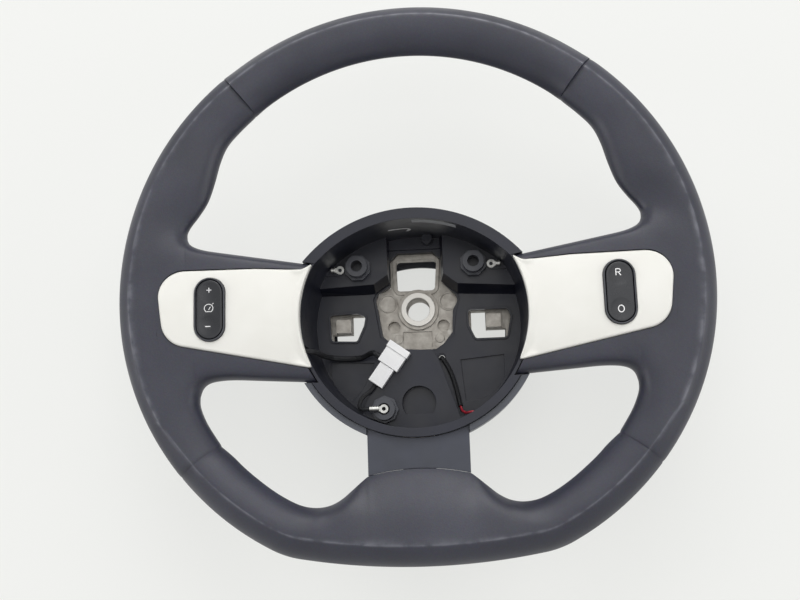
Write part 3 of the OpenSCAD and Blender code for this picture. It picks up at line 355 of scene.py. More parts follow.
def quilt(name, flat, front, rear, quads, caps, edge):
    """A closed mesh over a flat net, its front and rear skins joined along the net's edge points."""
    n = len(flat)
    # A thin band along the front crease gets the leather's paler tone: partly wear from hands, partly a
    # painted highlight
    off_crease = outer_gap(flat) - crease_at(flat)
    wear_and_sheen = np.exp(-(off_crease / WEAR_AND_HIGHLIGHT_W) ** 2)
    folds = np.abs(off_crease) < FOLD_NEAR
    back = np.arange(n) + n
    back[edge] = np.nonzero(edge)[0]
    front = np.where(edge, 0.0, front)
    verts = np.concatenate([np.c_[flat, front], np.c_[flat, rear]])
    verts[:, 1] += RIM_LIFT
    verts[:, 2] += RIM_Z
    faces = [tuple(q) for q in quads]
    faces += [tuple(back[list(q)[::-1]]) for q in quads]
    for cap in caps:
        for a, b in zip(cap[:-1], cap[1:]):
            face = []
            for v in (a, b, back[b], back[a]):
                if v not in face:
                    face.append(int(v))
            if len(face) > 2:
                faces.append(tuple(face[::-1]))
    mesh = bpy.data.meshes.new(name)
    mesh.from_pydata((verts * MM).tolist(), [], [[int(v) for v in f] for f in faces])
    # Share of that paler crease band (wear and painted highlight), read by the leather's finish
    rubbed_and_highlit = mesh.attributes.new("wear_and_sheen", "FLOAT", "POINT")
    rubbed_and_highlit.data.foreach_set("value", np.concatenate([wear_and_sheen, 0 * wear_and_sheen]))
    bm = bmesh.new()
    bm.from_mesh(mesh)
    sharp = bm.edges.layers.float.new("crease_edge")
    ends = set()
    for cap in caps[:2]:
        for a, b in zip(cap[:-1], cap[1:]):
            ends |= {frozenset((int(a), int(b))), frozenset((int(back[a]), int(back[b])))}
    for e in bm.edges:
        a, b = (v.index for v in e.verts)
        if frozenset((a, b)) in ends:
            e[sharp] = 1.0
        elif a < n and b < n and folds[a] and folds[b]:
            e[sharp] = FOLD_SHARP
    bmesh.ops.delete(bm, geom=[v for v in bm.verts if not v.link_faces], context="VERTS")
    bmesh.ops.recalc_face_normals(bm, faces=bm.faces)
    bm.to_mesh(mesh)
    bm.free()
    return new_object(name, mesh)


def new_object(name, mesh):
    """An object for a mesh, linked to the scene."""
    obj = bpy.data.objects.new(name, mesh)
    bpy.context.scene.collection.objects.link(obj)
    return obj


def closed_mesh(name, verts, faces):
    """An object from points in millimetres and faces, with its normals turned outwards."""
    mesh = bpy.data.meshes.new(name)
    mesh.from_pydata((np.asarray(verts, float) * MM).tolist(), [], faces)
    bm = bmesh.new()
    bm.from_mesh(mesh)
    bmesh.ops.recalc_face_normals(bm, faces=bm.faces)
    bm.to_mesh(mesh)
    bm.free()
    return new_object(name, mesh)


def bake_modifiers(obj):
    """Puts the object's evaluated mesh in place of its modifiers."""
    graph = bpy.context.evaluated_depsgraph_get()
    graph.update()
    mesh = bpy.data.meshes.new_from_object(obj.evaluated_get(graph), depsgraph=graph)
    obj.modifiers.clear()
    obj.data = mesh
    return obj


def soften(obj):
    """Subdivides a closed cage once, then shades it smooth."""
    mod = obj.modifiers.new("Round", "SUBSURF")
    mod.levels = 1
    mod.render_levels = 1
    bake_modifiers(obj)
    shade(obj)


def shade(obj, angle=38):
    """Smooth shading with sharp edges past an angle."""
    mesh = obj.data
    mesh.polygons.foreach_set("use_smooth", [True] * len(mesh.polygons))
    mesh.set_sharp_from_angle(angle=math.radians(angle))


def combine(obj, other, operation="DIFFERENCE"):
    """Takes another closed solid away from the object, or joins it on with UNION."""
    mod = obj.modifiers.new("Combine", "BOOLEAN")
    mod.operation = operation
    mod.solver = "EXACT"
    mod.object = other
    bake_modifiers(obj)
    bpy.data.objects.remove(other)


def prism(name, points, low, high):
    """A straight prism over a flat outline."""
    bm = bmesh.new()
    ring = [bm.verts.new((x * MM, y * MM, low * MM)) for x, y in points]
    face = bm.faces.new(ring)
    up = bmesh.ops.extrude_face_region(bm, geom=[face])
    bmesh.ops.translate(bm, vec=(0, 0, (high - low) * MM),
                        verts=[g for g in up["geom"] if isinstance(g, bmesh.types.BMVert)])
    bmesh.ops.recalc_face_normals(bm, faces=bm.faces)
    mesh = bpy.data.meshes.new(name)
    bm.to_mesh(mesh)
    bm.free()
    return new_object(name, mesh)


def mirrored(obj, name):
    """A mirrored copy of a piece, for the left side."""
    mesh = obj.data.copy()
    mesh.transform(Matrix.Scale(-1, 4, (1, 0, 0)))
    mesh.flip_normals()
    mesh.name = name
    return new_object(name, mesh)


def circle(centre, radius, step):
    """Points round a circle, a step of so many degrees apart."""
    return [on_arc(centre, radius, a) for a in range(0, 360, step)]


# Colours and finishes


def lin(text):
    """Linear colour from an sRGB hex value."""
    out = []
    for i in (1, 3, 5):
        v = int(text[i:i + 2], 16) / 255
        out.append(v / 12.92 if v <= 0.04045 else ((v + 0.055) / 1.055) ** 2.4)
    return (*out, 1.0)


def grey(value):
    """A grey that stands for a roughness or a share."""
    return (value, value, value, 1.0)


def add(tree, kind, inputs=None, **attrs):
    """A node of a kind with its attributes set; inputs maps sockets to values or other sockets."""
    node = tree.nodes.new(kind)
    for key, value in attrs.items():
        setattr(node, key, value)
    for key, value in (inputs or {}).items():
        if isinstance(value, bpy.types.NodeSocket):
            tree.links.new(value, node.inputs[key])
        else:
            node.inputs[key].default_value = value
    return node


def blank(name):
    """A material with only its output and shader, and the object's coordinates in metres."""
    mat = bpy.data.materials.new(name)
    mat.use_nodes = True
    tree = mat.node_tree
    tree.nodes.clear()
    out = add(tree, "ShaderNodeOutputMaterial")
    shader = add(tree, "ShaderNodeBsdfPrincipled")
    tree.links.new(shader.outputs[0], out.inputs[0])
    coords = add(tree, "ShaderNodeTexCoord").outputs["Object"]
    return mat, tree, shader, coords


def drift(tree, coords, size_mm, detail, stops, rough=0.5):
    """A colour that wanders between (place, hex or grey) stops over lumps about size_mm across."""
    lumps = add(tree, "ShaderNodeTexNoise",
                {"Vector": coords, "Scale": 1000 / size_mm, "Detail": detail, "Roughness": rough})
    node = add(tree, "ShaderNodeValToRGB", {0: lumps.outputs[0]})
    elements = node.color_ramp.elements
    for i, (place, tone) in enumerate(stops):
        element = elements[i] if i < 2 else elements.new(place)
        element.position = place
        element.color = lin(tone) if isinstance(tone, str) else grey(tone)
    return node.outputs[0]


def tinted(name, size_mm, hexes):
    """A blank material whose colour wanders between two tones over patches of size_mm."""
    mat, tree, shader, coords = blank(name)
    tone = drift(tree, coords, size_mm, 3, ((0.3, hexes[0]), (0.7, hexes[1])))
    tree.links.new(tone, shader.inputs["Base Color"])
    return mat, tree, shader, coords


def relief(tree, coords, size_mm, detail, strength, depth_mm, edge_mm=0):
    """Normal of fine lumps of a real size and depth, over edges rounded by edge_mm."""
    lumps = add(tree, "ShaderNodeTexNoise", {"Vector": coords, "Scale": 1000 / size_mm, "Detail": detail})
    inputs = {"Strength": strength, "Distance": depth_mm * MM, "Height": lumps.outputs[0]}
    if edge_mm:
        inputs["Normal"] = add(tree, "ShaderNodeBevel", {"Radius": edge_mm * MM}, samples=4).outputs[0]
    return add(tree, "ShaderNodeBump", inputs).outputs[0]


def laid_over(tree, share, below, above, blend="MIX"):
    """One colour laid over another by a share."""
    return add(tree, "ShaderNodeMix", {"Factor": share, 6: below, 7: above}, data_type="RGBA",
               blend_type=blend).outputs[2]


PEBBLE_MM = 0.9


def smooth_leather(name, hexes):
    """Corrected-grain cowhide, coated dark blue-grey: fine pebble grain, satin where hands polish it."""
    mat, tree, shader, coords = blank(name)
    # Tone varies softly over hand-sized areas
    tone = drift(tree, coords, 60, 3, ((0.3, hexes[0]), (0.7, hexes[1])))
    # Grain pebbles of 0.9 mm, drawn a little coarser than the real 0.5 mm so that they show
    grain = add(tree, "ShaderNodeTexVoronoi", {"Vector": coords, "Scale": 1000 / PEBBLE_MM}, feature="F1")
    mottled = laid_over(tree, 0.12, tone, grain.outputs["Color"], "SOFT_LIGHT")
    # Along the fold the leather is painted paler and made smoother, in patches: partly wear from hands,
    # partly a painted highlight on the crease
    patches = drift(tree, coords, 9, 4, ((0.35, 0.15), (0.65, 1.0)))
    fold = add(tree, "ShaderNodeAttribute", attribute_name="wear_and_sheen")
    thin = add(tree, "ShaderNodeMath", {0: fold.outputs["Fac"], 1: 2.2}, operation="POWER")
    much = add(tree, "ShaderNodeMath", {0: thin.outputs[0], 1: patches}, operation="MULTIPLY").outputs[0]
    tree.links.new(laid_over(tree, much, mottled, lin(hexes[2])), shader.inputs["Base Color"])
    polish = drift(tree, coords, 35, 4, ((0.35, 0.36), (0.7, 0.5)))
    tree.links.new(laid_over(tree, much, polish, grey(0.22)), shader.inputs["Roughness"])
    shader.inputs["Specular IOR Level"].default_value = 0.45
    pores = relief(tree, coords, 0.35, 2, 0.25, 0.03)
    skin = add(tree, "ShaderNodeBump", {"Strength": 0.5, "Distance": 0.06 * MM,
                                        "Height": grain.outputs["Distance"], "Normal": pores})
    tree.links.new(skin.outputs[0], shader.inputs["Normal"])
    return mat


def grained_plastic(name, hexes, grain_mm, depth_mm, rough, edge_mm=0.4, gloss=0.5):
    """Moulded ABS with a spark-eroded grain: matt, with tiny pits and softly rounded edges."""
    mat, tree, shader, coords = tinted(name, 25, hexes)
    wear_and_sheen = drift(tree, coords, 12, 4, ((0.3, rough - 0.06), (0.7, rough + 0.06)))
    tree.links.new(wear_and_sheen, shader.inputs["Roughness"])
    shader.inputs["Specular IOR Level"].default_value = gloss
    grain = add(tree, "ShaderNodeTexVoronoi", {"Vector": coords, "Scale": 1000 / grain_mm}, feature="F1")
    edges = add(tree, "ShaderNodeBevel", {"Radius": edge_mm * MM}, samples=4)
    skin = add(tree, "ShaderNodeBump", {"Strength": 0.6, "Distance": depth_mm * MM,
                                        "Height": grain.outputs["Distance"], "Normal": edges.outputs[0]})
    tree.links.new(skin.outputs[0], shader.inputs["Normal"])
    return mat


def cast_alloy(name):
    """Die-cast aluminium as cast: dull warm grey with a mottled skin, and a bright turned nut seat."""
    mat, tree, shader, coords = blank(name)
    tone = drift(tree, coords, 6, 5, ((0.3, "#a29c94"), (0.55, "#bab5ad"), (0.75, "#cecac3")), 0.6)
    # The nut seat is turned bright: within its radius round the bore and above the cast skin
    split = add(tree, "ShaderNodeSeparateXYZ", {0: coords})
    flat = add(tree, "ShaderNodeCombineXYZ", {0: split.outputs[0], 1: split.outputs[1]})
    reach = add(tree, "ShaderNodeVectorMath", {0: flat.outputs[0]}, operation="LENGTH").outputs["Value"]
    near = add(tree, "ShaderNodeMath", {0: reach, 1: (SEAT_R + 0.1) * MM}, operation="LESS_THAN")
    seat_skin = (BOSS_H - 1.2) * MM
    high = add(tree, "ShaderNodeMath", {0: split.outputs[2], 1: seat_skin}, operation="GREATER_THAN")
    turned = add(tree, "ShaderNodeMath", {0: near.outputs[0], 1: high.outputs[0]},
                 operation="MULTIPLY").outputs[0]
    tree.links.new(laid_over(tree, turned, tone, lin("#d9d6d0")), shader.inputs["Base Color"])
    shader.inputs["Metallic"].default_value = 0.4
    rough = drift(tree, coords, 2.5, 4, ((0.3, 0.42), (0.7, 0.62)))
    tree.links.new(laid_over(tree, turned, rough, grey(0.3)), shader.inputs["Roughness"])
    tree.links.new(relief(tree, coords, 1.2, 4, 0.5, 0.12, 0.5), shader.inputs["Normal"])
    return mat


def bare_metal(name, hexes, rough):
    """Tinned steel strip or turned metal: bright, with a fine directionless brush."""
    mat, tree, shader, coords = tinted(name, 3, hexes)
    shader.inputs["Metallic"].default_value = 0.9
    shader.inputs["Roughness"].default_value = rough
    tree.links.new(relief(tree, coords, 0.4, 3, 0.3, 0.03, 0.2), shader.inputs["Normal"])
    return mat


RIB_MM = 1.0


def soft_sleeve(name, hexes, rough):
    """Woven or extruded lead sleeve: matt, with a faint rib from the weave every millimetre."""
    mat, tree, shader, coords = tinted(name, 5, hexes)
    shader.inputs["Roughness"].default_value = rough
    weave = add(tree, "ShaderNodeTexWave", {"Vector": coords, "Scale": 1000 / RIB_MM / (2 * math.pi),
                                            "Distortion": 3.0, "Detail": 2.0}, bands_direction="DIAGONAL")
    skin = add(tree, "ShaderNodeBump", {"Strength": 0.4, "Distance": 0.08 * MM, "Height": weave.outputs[1]})
    tree.links.new(skin.outputs[0], shader.inputs["Normal"])
    return mat


def plain_paint(name, hexes, rough):
    """A printed mark: one colour with a slight mottle, and no grain of its own."""
    mat, _, shader, _ = tinted(name, 4, hexes)
    shader.inputs["Roughness"].default_value = rough
    return mat


def put(obj, mat):
    """Gives an object one material."""
    obj.data.materials.clear()
    obj.data.materials.append(mat)


def dress(name, mat):
    """Gives a CAD node its material."""
    put(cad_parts[name], mat)


# Rim


# Thumb rest over the spoke and heel rest under it: polar angle, extra width of the grip, which the
# thumb rest gives as a share of THUMB_OUT, and the reach of the edge's round
THUMB_REST = ((SEAM_HIGH, 0, 15), (45, 0, 15), (40.4, 0.03, 15), (36.1, 0.33, 15), (31.3, 0.76, 16),
              (26, 1, 18), (21.6, 0.82, 18), (18.5, 0.54, 17), (16.5, 0.44, 15), (15, 0.56, 13))
HEEL_REST = ((-25, 4.6, 12), (-26.9, 2.4, 13), (-30.6, 1.1, 15), (-34.3, 0.8, 15), (-SEAM_LOW, 0.5, 15))


def rest_pt(angle, extra=0):
    """Point of the rim's inner edge, with an extra width of the grip."""
    return on_arc((0, 0), RIM_R - GRIP_W - extra, angle)


THUMB_SCOOP_AT = np.array([147.0, 51.0])
THUMB_SCOOP_WAY = np.array([0.64, -0.77])
THUMB_SCOOP_L = 20.0
THUMB_SCOOP_W = 8.5
THUMB_SCOOP_DEEP = 3.4
SPOKE_REAR_RUN = 40.0
EVEN_CELL = 1.5
EVEN_RUN = 5.0
SETTLE_PASSES = 12


def inside(p, border):
    """Whether points lie inside a closed outline."""
    odd = np.zeros(len(p), bool)
    for a, b in zip(border, np.roll(border, -1, 0)):
        if a[1] != b[1]:
            spans = (a[1] > p[:, 1]) != (b[1] > p[:, 1])
            odd ^= spans & (p[:, 0] < a[0] + (p[:, 1] - a[1]) * (b[0] - a[0]) / (b[1] - a[1]))
    return odd


def evened(height_at, p, inward, border):
    """Heights at points, with kinks well inside the outline evened out, as stretched leather does."""
    low, high = border.min(0) - 3, border.max(0) + 3
    nx, ny = np.ceil((high - low) / EVEN_CELL).astype(int) + 1
    gx, gy = np.meshgrid(low[0] + EVEN_CELL * np.arange(nx), low[1] + EVEN_CELL * np.arange(ny),
                         indexing="ij")
    cells = np.stack([gx.ravel(), gy.ravel()], 1)
    within = inside(cells, border).astype(float)
    sums = [(height_at(cells) * within).reshape(nx, ny), within.reshape(nx, ny)]
    reach = int(3 * EVEN_RUN / EVEN_CELL)
    kernel = np.exp(-0.5 * (np.arange(-reach, reach + 1) * EVEN_CELL / EVEN_RUN) ** 2)
    for axis in (0, 1):
        sums = [np.apply_along_axis(np.convolve, axis, g, kernel, mode="same") for g in sums]
    even = sums[0] / np.maximum(sums[1], 1e-6)
    at = (p - low) / EVEN_CELL
    i = np.clip(np.floor(at).astype(int), 0, (nx - 2, ny - 2))
    f = at - i
    soft = sum(even[i[:, 0] + a, i[:, 1] + b] * np.abs(1 - a - f[:, 0]) * np.abs(1 - b - f[:, 1])
               for a in (0, 1) for b in (0, 1))
    return mix(height_at(p), soft, ease((inward - 3) / 8))


def spoke_front(x):
    """Height of the spoke's front over the rim's middle plane at a place along X."""
    return GRIP_FRONT - SPOKE_FALL / (TRIM_END_X - RING_IN_R) * np.maximum(0.0, TRIM_END_X - x)


# Turns of the spoke's upper and lower edge beyond its root at the grip, and the change in reach there
HIGH_TURNS = ((-1.2, -2.6, -1), (-4.6, -5.2, -3), (-11.7, -7.8, SPOKE_ROUND - 13),
              (-24.2, -10.2, SPOKE_ROUND - 13))
LOW_TURNS = ((-1.4, 4.9, -1), (-5, 8.2, -2), (-11.5, 9.8, SPOKE_ROUND - 12), (-22, 10.1, SPOKE_ROUND - 12))
SPOKE_STEPS = (0, 0.02, 0.08, 0.18, 0.32, 0.5, 0.74, 1.05)
SPOKE_MIDDLE_STEPS = 8


def spoke_edge(root, turns, end_y, fine):
    """An edge of the spoke from its root to the hub: places, and the reach of the edge's round."""
    pts = [root] + [root + np.array(t) for t in turns]
    start = pts[-1]
    coarse = [np.array([mix(start[0], SPOKE_END_X, k / 4), mix(start[1], end_y, k / 4), SPOKE_ROUND])
              for k in range(1, 5)]
    return smooth(pts + coarse, max(2, 3 * fine // 4))


def spoke_line(t, b):
    """Stations across the spoke from its upper edge point t to the lower one b, dense at both."""
    w = np.hypot(*(t - b))
    u = (b - t) / w
    e = SPOKE_ROUND
    far = SPOKE_STEPS[-1] * e
    pts = [t + u * s * e for s in SPOKE_STEPS]
    pts += [t + u * (far + (w - 2 * far) * (k + 1) / (SPOKE_MIDDLE_STEPS + 1))
            for k in range(SPOKE_MIDDLE_STEPS)]
    pts += [b - u * s * e for s in SPOKE_STEPS[::-1]]
    return np.array(pts)


def side_section(fine):
    """The right side section: the grip between two seams and the spoke that grows from it."""
    high = smooth(THUMB_REST, fine)
    low = smooth(HEEL_REST, fine)
    high_in = np.array([[*rest_pt(a, e * THUMB_OUT), r] for a, e, r in high])
    low_in = np.array([[*rest_pt(a, e), r] for a, e, r in low])
    high_edge = spoke_edge(high_in[-1], HIGH_TURNS, SPOKE_TOP_Y - RIM_LIFT - 2, fine)
    low_edge = spoke_edge(low_in[0], LOW_TURNS, -SPOKE_LOW_Y - RIM_LIFT, fine)
    rows = [spoke_line(a[:2], b[:2]) for a, b in zip(high_edge, low_edge)]
    last = len(rows[0]) - 1
    lines = [grip_line(a, p[:2]) for a, p in zip(high[:, 0], high_in)]
    for j in range(1, last):
        a = mix(THUMB_REST[-1][0], HEEL_REST[0][0], j / last)
        lines.append(grip_line(facing(a), rows[0][j], min(1, j / 6, (last - j) / 6)))
    lines += [grip_line(facing(a), p[:2]) for a, p in zip(low[:, 0], low_in)]
    true = np.concatenate(lines + rows[1:])
    net = np.concatenate([seamed(lines), *rows[1:]])
    per, count = len(lines[0]), len(lines)
    upper = len(high) - 1
    ends = [line[-1] for line in lines[:upper + last - 1:-1]]
    border = np.concatenate([[line[0] for line in lines], ends, low_edge[1:, :2], rows[-1][::-1],
                             high_edge[::-1, :2], high_in[::-1, :2]])

    def share_at(p):
        return np.minimum(edge_share(p, np.concatenate([high_in, high_edge[1:]])),
                          np.minimum(edge_share(p, low_edge), edge_share(p, low_in)))

    def front_at(p):
        k = p - THUMB_SCOOP_AT
        along = (k @ THUMB_SCOOP_WAY) / THUMB_SCOOP_L
        beside = (k @ np.array([-THUMB_SCOOP_WAY[1], THUMB_SCOOP_WAY[0]])) / THUMB_SCOOP_W
        scoop = THUMB_SCOOP_DEEP * np.exp(-along ** 2 - beside ** 2)
        return (spoke_front(p[:, 0]) * front_share(p) - scoop) * quarter(share_at(p))

    def rear_at(p):
        deep = -mix(GRIP_REAR, SPOKE_REAR, np.clip((TRIM_END_X - p[:, 0]) / SPOKE_REAR_RUN, 0, 1))
        return deep * quarter(outer_gap(p) / CREST_IN) * quarter(share_at(p))

    inward = np.minimum(share_at(true) * EDGE_REACH, outer_gap(true) - crease_at(true) - 1)
    front, rear = (evened(f, true, inward, border) for f in (front_at, rear_at))
    lower_seams((front, rear), per, count)

    def row_at(m, j):
        return (upper + j) * per + per - 1 if m == 0 else count * per + (m - 1) * (last + 1) + j

    quads = grid(count, per)
    quads += [(row_at(m, j), row_at(m + 1, j), row_at(m + 1, j + 1), row_at(m, j + 1))
              for m in range(len(rows) - 1) for j in range(last)]
    edge = np.zeros(len(true), bool)
    edge[0:count * per:per] = True
    for i in range(count):
        if i <= upper or i >= upper + last:
            edge[i * per + per - 1] = True
    for m in range(1, len(rows)):
        edge[row_at(m, 0)] = edge[row_at(m, last)] = True
    caps = end_caps(count, per) + [[row_at(len(rows) - 1, j) for j in range(last, -1, -1)]]
    return net, front, rear, quads, caps, edge


def settle(net, heights, quads, fixed):
    """Evens out kinks of the heights, as stretched leather does, and leaves edges and seams."""
    pairs = np.array([(q[a], q[(a + 1) % 4]) for q in quads for a in range(4)])
    length = np.hypot(*(net[pairs[:, 0]] - net[pairs[:, 1]]).T)
    weight = 1 / np.maximum(length, 0.4)
    total = np.bincount(pairs[:, 0], weight, len(net)) + np.bincount(pairs[:, 1], weight, len(net))
    for _ in range(SETTLE_PASSES):
        for z in heights:
            around = (np.bincount(pairs[:, 0], weight * z[pairs[:, 1]], len(net))
                      + np.bincount(pairs[:, 1], weight * z[pairs[:, 0]], len(net))) / np.maximum(total, 1e-9)
            z[~fixed] = mix(z[~fixed], around[~fixed], 0.5)


def top_section(fine):
    """The plain grip over the top, from seam to seam: its lines, and its height's share at points."""
    first = SEAM_HIGH + SEAM_TURN
    angles = [SEAM_HIGH, *np.linspace(first, 180 - SEAM_HIGH - SEAM_TURN, 10 * fine), 180 - SEAM_HIGH]
    lines = [grip_line(a, rest_pt(a)) for a in angles[::-1]]
    return lines, lambda p: quarter((np.hypot(*p.T) - RIM_R + GRIP_W) / EDGE_REACH)


FLARE = ((-42.5, 113, -99.5, 15), (-46, 107, -105.6, 15), (-51, 99.5, -112.2, 15), (-57, 90.5, -119.3, 14),
         (-64, 81, -125.5, 14), (-71, 71.5, -130, 14), (-77, 62.5, -131.5, 13), (-80.8, 54.5, -130.4, 12),
         (-82.8, 47.5, -127, 12), (-84.3, 41, -121.8, 11), (-85.4, 35.8, -117.4, 10))
FLANGE_C = np.array([0.0, -FLANGE_Y - RIM_LIFT - FLANGE_R])
PANEL_SIDE = PANEL_W / 2 + 0.3
FLANGE_FROM = -86.4
FLANGE_RUN = 26.0


def flange_pt(x):
    """Point of the leather's curved edge at the lower spoke's panel."""
    return np.array([x, FLANGE_C[1] + math.sqrt((FLANGE_R + 0.2) ** 2 - x * x)])


def bottom_section(fine):
    """The flat bottom: its lines, the inner edge round the lower spoke's panel, and the edge's first line."""
    seam_in = rest_pt(-SEAM_LOW, 0.5)
    rows = [(facing(-SEAM_LOW - SEAM_TURN), seam_in[0] - 1, seam_in[1] - 1.2, 15), *FLARE,
            (FLANGE_FROM, *flange_pt(PANEL_SIDE), 8)]
    pts = [np.array([facing(-SEAM_LOW), *seam_in, 15]), *smooth(rows, fine)]
    flange_from = len(pts) - 1
    steps = 4 * fine
    for k in range(1, steps + 1):
        pts.append(np.array([mix(FLANGE_FROM, -90, k / steps), *flange_pt(PANEL_SIDE * (1 - k / steps)), 8]))
    path = np.array([p[1:] for p in pts[:flange_from + 1]])
    right = [grip_line(p[0], p[1:3]) for p in pts]
    left = [line * np.array([-1, 1]) for line in right[-2::-1]]
    return right + left, path, flange_from


def ribbon(name, lines, front_of, rear_of, open_lines):
    """A grip over a row of lines; open_lines are the ones whose inner end is a cut face."""
    per, count = len(lines[0]), len(lines)
    true = np.concatenate(lines)
    net = seamed(lines)
    heights = front_of(true), rear_of(true)
    lower_seams(heights, per, count)
    quads = grid(count, per)
    fixed = np.zeros(len(true), bool)
    fixed[0::per] = fixed[per - 1::per] = True
    edge = fixed.copy()
    for i in open_lines:
        edge[i * per + per - 1] = False
    fixed[:per] = fixed[-per:] = True
    caps = end_caps(count, per)
    if open_lines:
        caps.append([i * per + per - 1 for i in range(open_lines[-1] + 1, open_lines[0] - 2, -1)])
    settle(net, heights, quads, fixed)
    return quilt(name, net, *heights, quads, caps, edge)


def spread(a, b, n):
    """n points from a towards b, without b."""
    return [mix(np.asarray(a, float), np.asarray(b, float), k / n) for k in range(n)]


# Arc centres of the trim's two outer corners, set in from the corners of its plain outline
TRIM_HIGH_C = np.array([TRIM_END_X - TRIM_CORNER_R - 1.5, TRIM_TOP_Y - TRIM_CORNER_R])
TRIM_LOW_C = np.array([TRIM_END_X - TRIM_CORNER_R - 3.5, -TRIM_LOW_Y + TRIM_CORNER_R - 1])


def trim_outline(inset, tip=True):
    """Outline of the right trim, drawn in by an inset, anticlockwise from its lower hub corner."""
    r = TRIM_CORNER_R - inset
    hi, lo = TRIM_HIGH_C, TRIM_LOW_C
    start = np.array([SPOKE_END_X, -TRIM_HUB_Y + inset - 1.6])
    d = lo - start
    a = math.atan2(d[1], d[0]) - math.asin(r / np.hypot(*d)) - math.pi / 2
    side_a = math.atan2(*(hi - lo)[::-1]) - math.pi / 2
    low_arc = [lo + r * np.array([math.cos(t), math.sin(t)]) for t in np.linspace(a, side_a, 20)]
    high_arc = [hi + r * np.array([math.cos(t), math.sin(t)]) for t in np.linspace(side_a, math.pi / 2, 24)]
    hub_r = RING_IN_R + 0.2 + inset

    def on_hub(y):
        return np.array([math.sqrt(hub_r ** 2 - (y + HUB_DROP) ** 2), y])

    def meet(p, q):
        """Where the line from p through q reaches the hub's circle."""
        y = p[1]
        for _ in range(12):
            y = p[1] + (q[1] - p[1]) * (on_hub(y)[0] - p[0]) / (q[0] - p[0])
        return on_hub(y)

    top_y = TRIM_TOP_Y - inset
    bow = np.array([TRIM_BOW_X + 0.5, top_y])
    if tip:
        knee, point = (np.array(p) for p in TRIM_TIP)
        end = meet(point, point + np.array([-4.2, 1.1]))
        top = spread(bow, knee, 24) + spread(knee, point, 8) + spread(point, end, 2)
    else:
        end = meet(bow, np.array([SPOKE_END_X, top_y - TRIM_DIP]))
        top = spread(bow, end, 34)
    corner = meet(start, low_arc[0])
    hub = [on_hub(y) for y in np.linspace(end[1], corner[1], 50)[:-1]]
    pts = np.array(spread(corner, low_arc[0], 44) + low_arc[:-1] + spread(low_arc[-1], high_arc[0], 10)
                   + high_arc[:-1] + spread(high_arc[-1], bow, 30) + top + hub)
    lift = np.hypot(pts[:, 0], pts[:, 1] - RIM_LIFT)
    limit = TRIM_END_X - inset
    scale = np.where(lift > limit, limit / lift, 1.0)
    pts[:, 0] *= scale
    pts[:, 1] = RIM_LIFT + (pts[:, 1] - RIM_LIFT) * scale
    return pts


def turning(pts):
    """Steps before and after each point of a closed outline, and the angle between the two."""
    before, after = pts - np.roll(pts, 1, 0), np.roll(pts, -1, 0) - pts
    cross = before[:, 0] * after[:, 1] - before[:, 1] * after[:, 0]
    return before, after, np.abs(np.arctan2(cross, (before * after).sum(1)))


def averaged(pts):
    """A closed outline with each point moved halfway to the middle of its neighbours."""
    return (np.roll(pts, 1, 0) + 2 * pts + np.roll(pts, -1, 0)) / 4


def rounded(pts, times):
    """A closed outline with its corners rounded off a little."""
    for _ in range(times):
        turn = turning(pts)[2]
        pts = np.where((turn > 0.12)[:, None], averaged(pts), pts)
    return pts


def evenly(pts, n):
    """A closed outline as n points at even distances."""
    ring = np.vstack([pts, pts[:1]])
    run = np.concatenate([[0], np.cumsum(np.hypot(*np.diff(ring, axis=0).T))])
    at = np.linspace(0, run[-1], n, endpoint=False)
    return np.stack([np.interp(at, run, ring[:, 0]), np.interp(at, run, ring[:, 1])], 1)


def drawn_in(pts, inset):
    """A closed anticlockwise outline moved inwards by an inset, less so at its sharp corners."""
    before, after, turn = turning(pts)
    step = before + after
    step /= np.maximum(np.hypot(*step.T), 1e-9)[:, None]
    corners = pts[turn > 0.45]
    if len(corners) and inset > 0:
        inset = inset * np.clip(0.12 + nearest(pts, corners) / 5, 0, 1)[:, None]
    return pts + inset * np.stack([-step[:, 1], step[:, 0]], 1)


def nearest(pts, others):
    """Distance from each point to the nearest of some others."""
    return np.min(np.hypot(*(pts[:, None] - others[None]).transpose(2, 0, 1)), 1)


def stack(name, rings):
    """A closed mesh through rings of points, each end closed towards its middle."""
    n = len(rings[0])
    verts = np.concatenate([np.asarray(r, float) for r in rings]
                           + [np.mean(rings[0], 0)[None], np.mean(rings[-1], 0)[None]])
    faces = []
    for i in range(len(rings) - 1):
        for k in range(n):
            m = (k + 1) % n
            faces.append((i * n + k, i * n + m, (i + 1) * n + m, (i + 1) * n + k))
    base, low, high = (len(rings) - 1) * n, len(rings) * n, len(rings) * n + 1
    for k in range(n):
        m = (k + 1) % n
        faces.append((m, k, low))
        faces.append((base + k, base + m, high))
    return closed_mesh(name, verts, faces)


def at_z(pts, z):
    """Flat points at a height or at heights."""
    return np.c_[pts, np.broadcast_to(z, len(pts))]


def edge_round(radius, steps):
    """Pairs of inset and drop round a quarter edge, from the wall to the top."""
    return [(radius * (1 - math.cos(t)), radius * (1 - math.sin(t)))
            for t in np.linspace(0, math.pi / 2, steps)]


def capsule(inset, steps=20):
    """Outline of a switch pod, drawn in by an inset."""
    r, h = POD_W / 2 - inset, (POD_L - POD_W) / 2
    turns = np.linspace(0, math.pi, steps)
    return np.array([(r * math.cos(t), h + r * math.sin(t)) for t in turns]
                    + [(-r * math.cos(t), -h - r * math.sin(t)) for t in turns]) + (POD_X, -POD_Y)


POD_TOP = RIM_Z + spoke_front(POD_X) + TRIM_PROUD + POD_PROUD
PIVOT_Z = POD_TOP - KEY_T + 1.2
DISH_BALL = (DISH_R ** 2 + DISH_DEEP ** 2) / (2 * DISH_DEEP)


def dish_sink(r):
    """Depth of a rocker's dish at a distance from its middle."""
    return math.sqrt(DISH_BALL ** 2 - r * r) - (DISH_BALL - DISH_DEEP)


def key_top(x, y):
    """Height of a rocker's face, its dished ends included, at a point of the right pod."""
    gap = math.hypot(x - POD_X, abs(y + POD_Y) - (POD_L - POD_W) / 2)
    return POD_TOP - KEY_LOW - (max(0.0, dish_sink(gap)) if gap < DISH_R else 0.0)


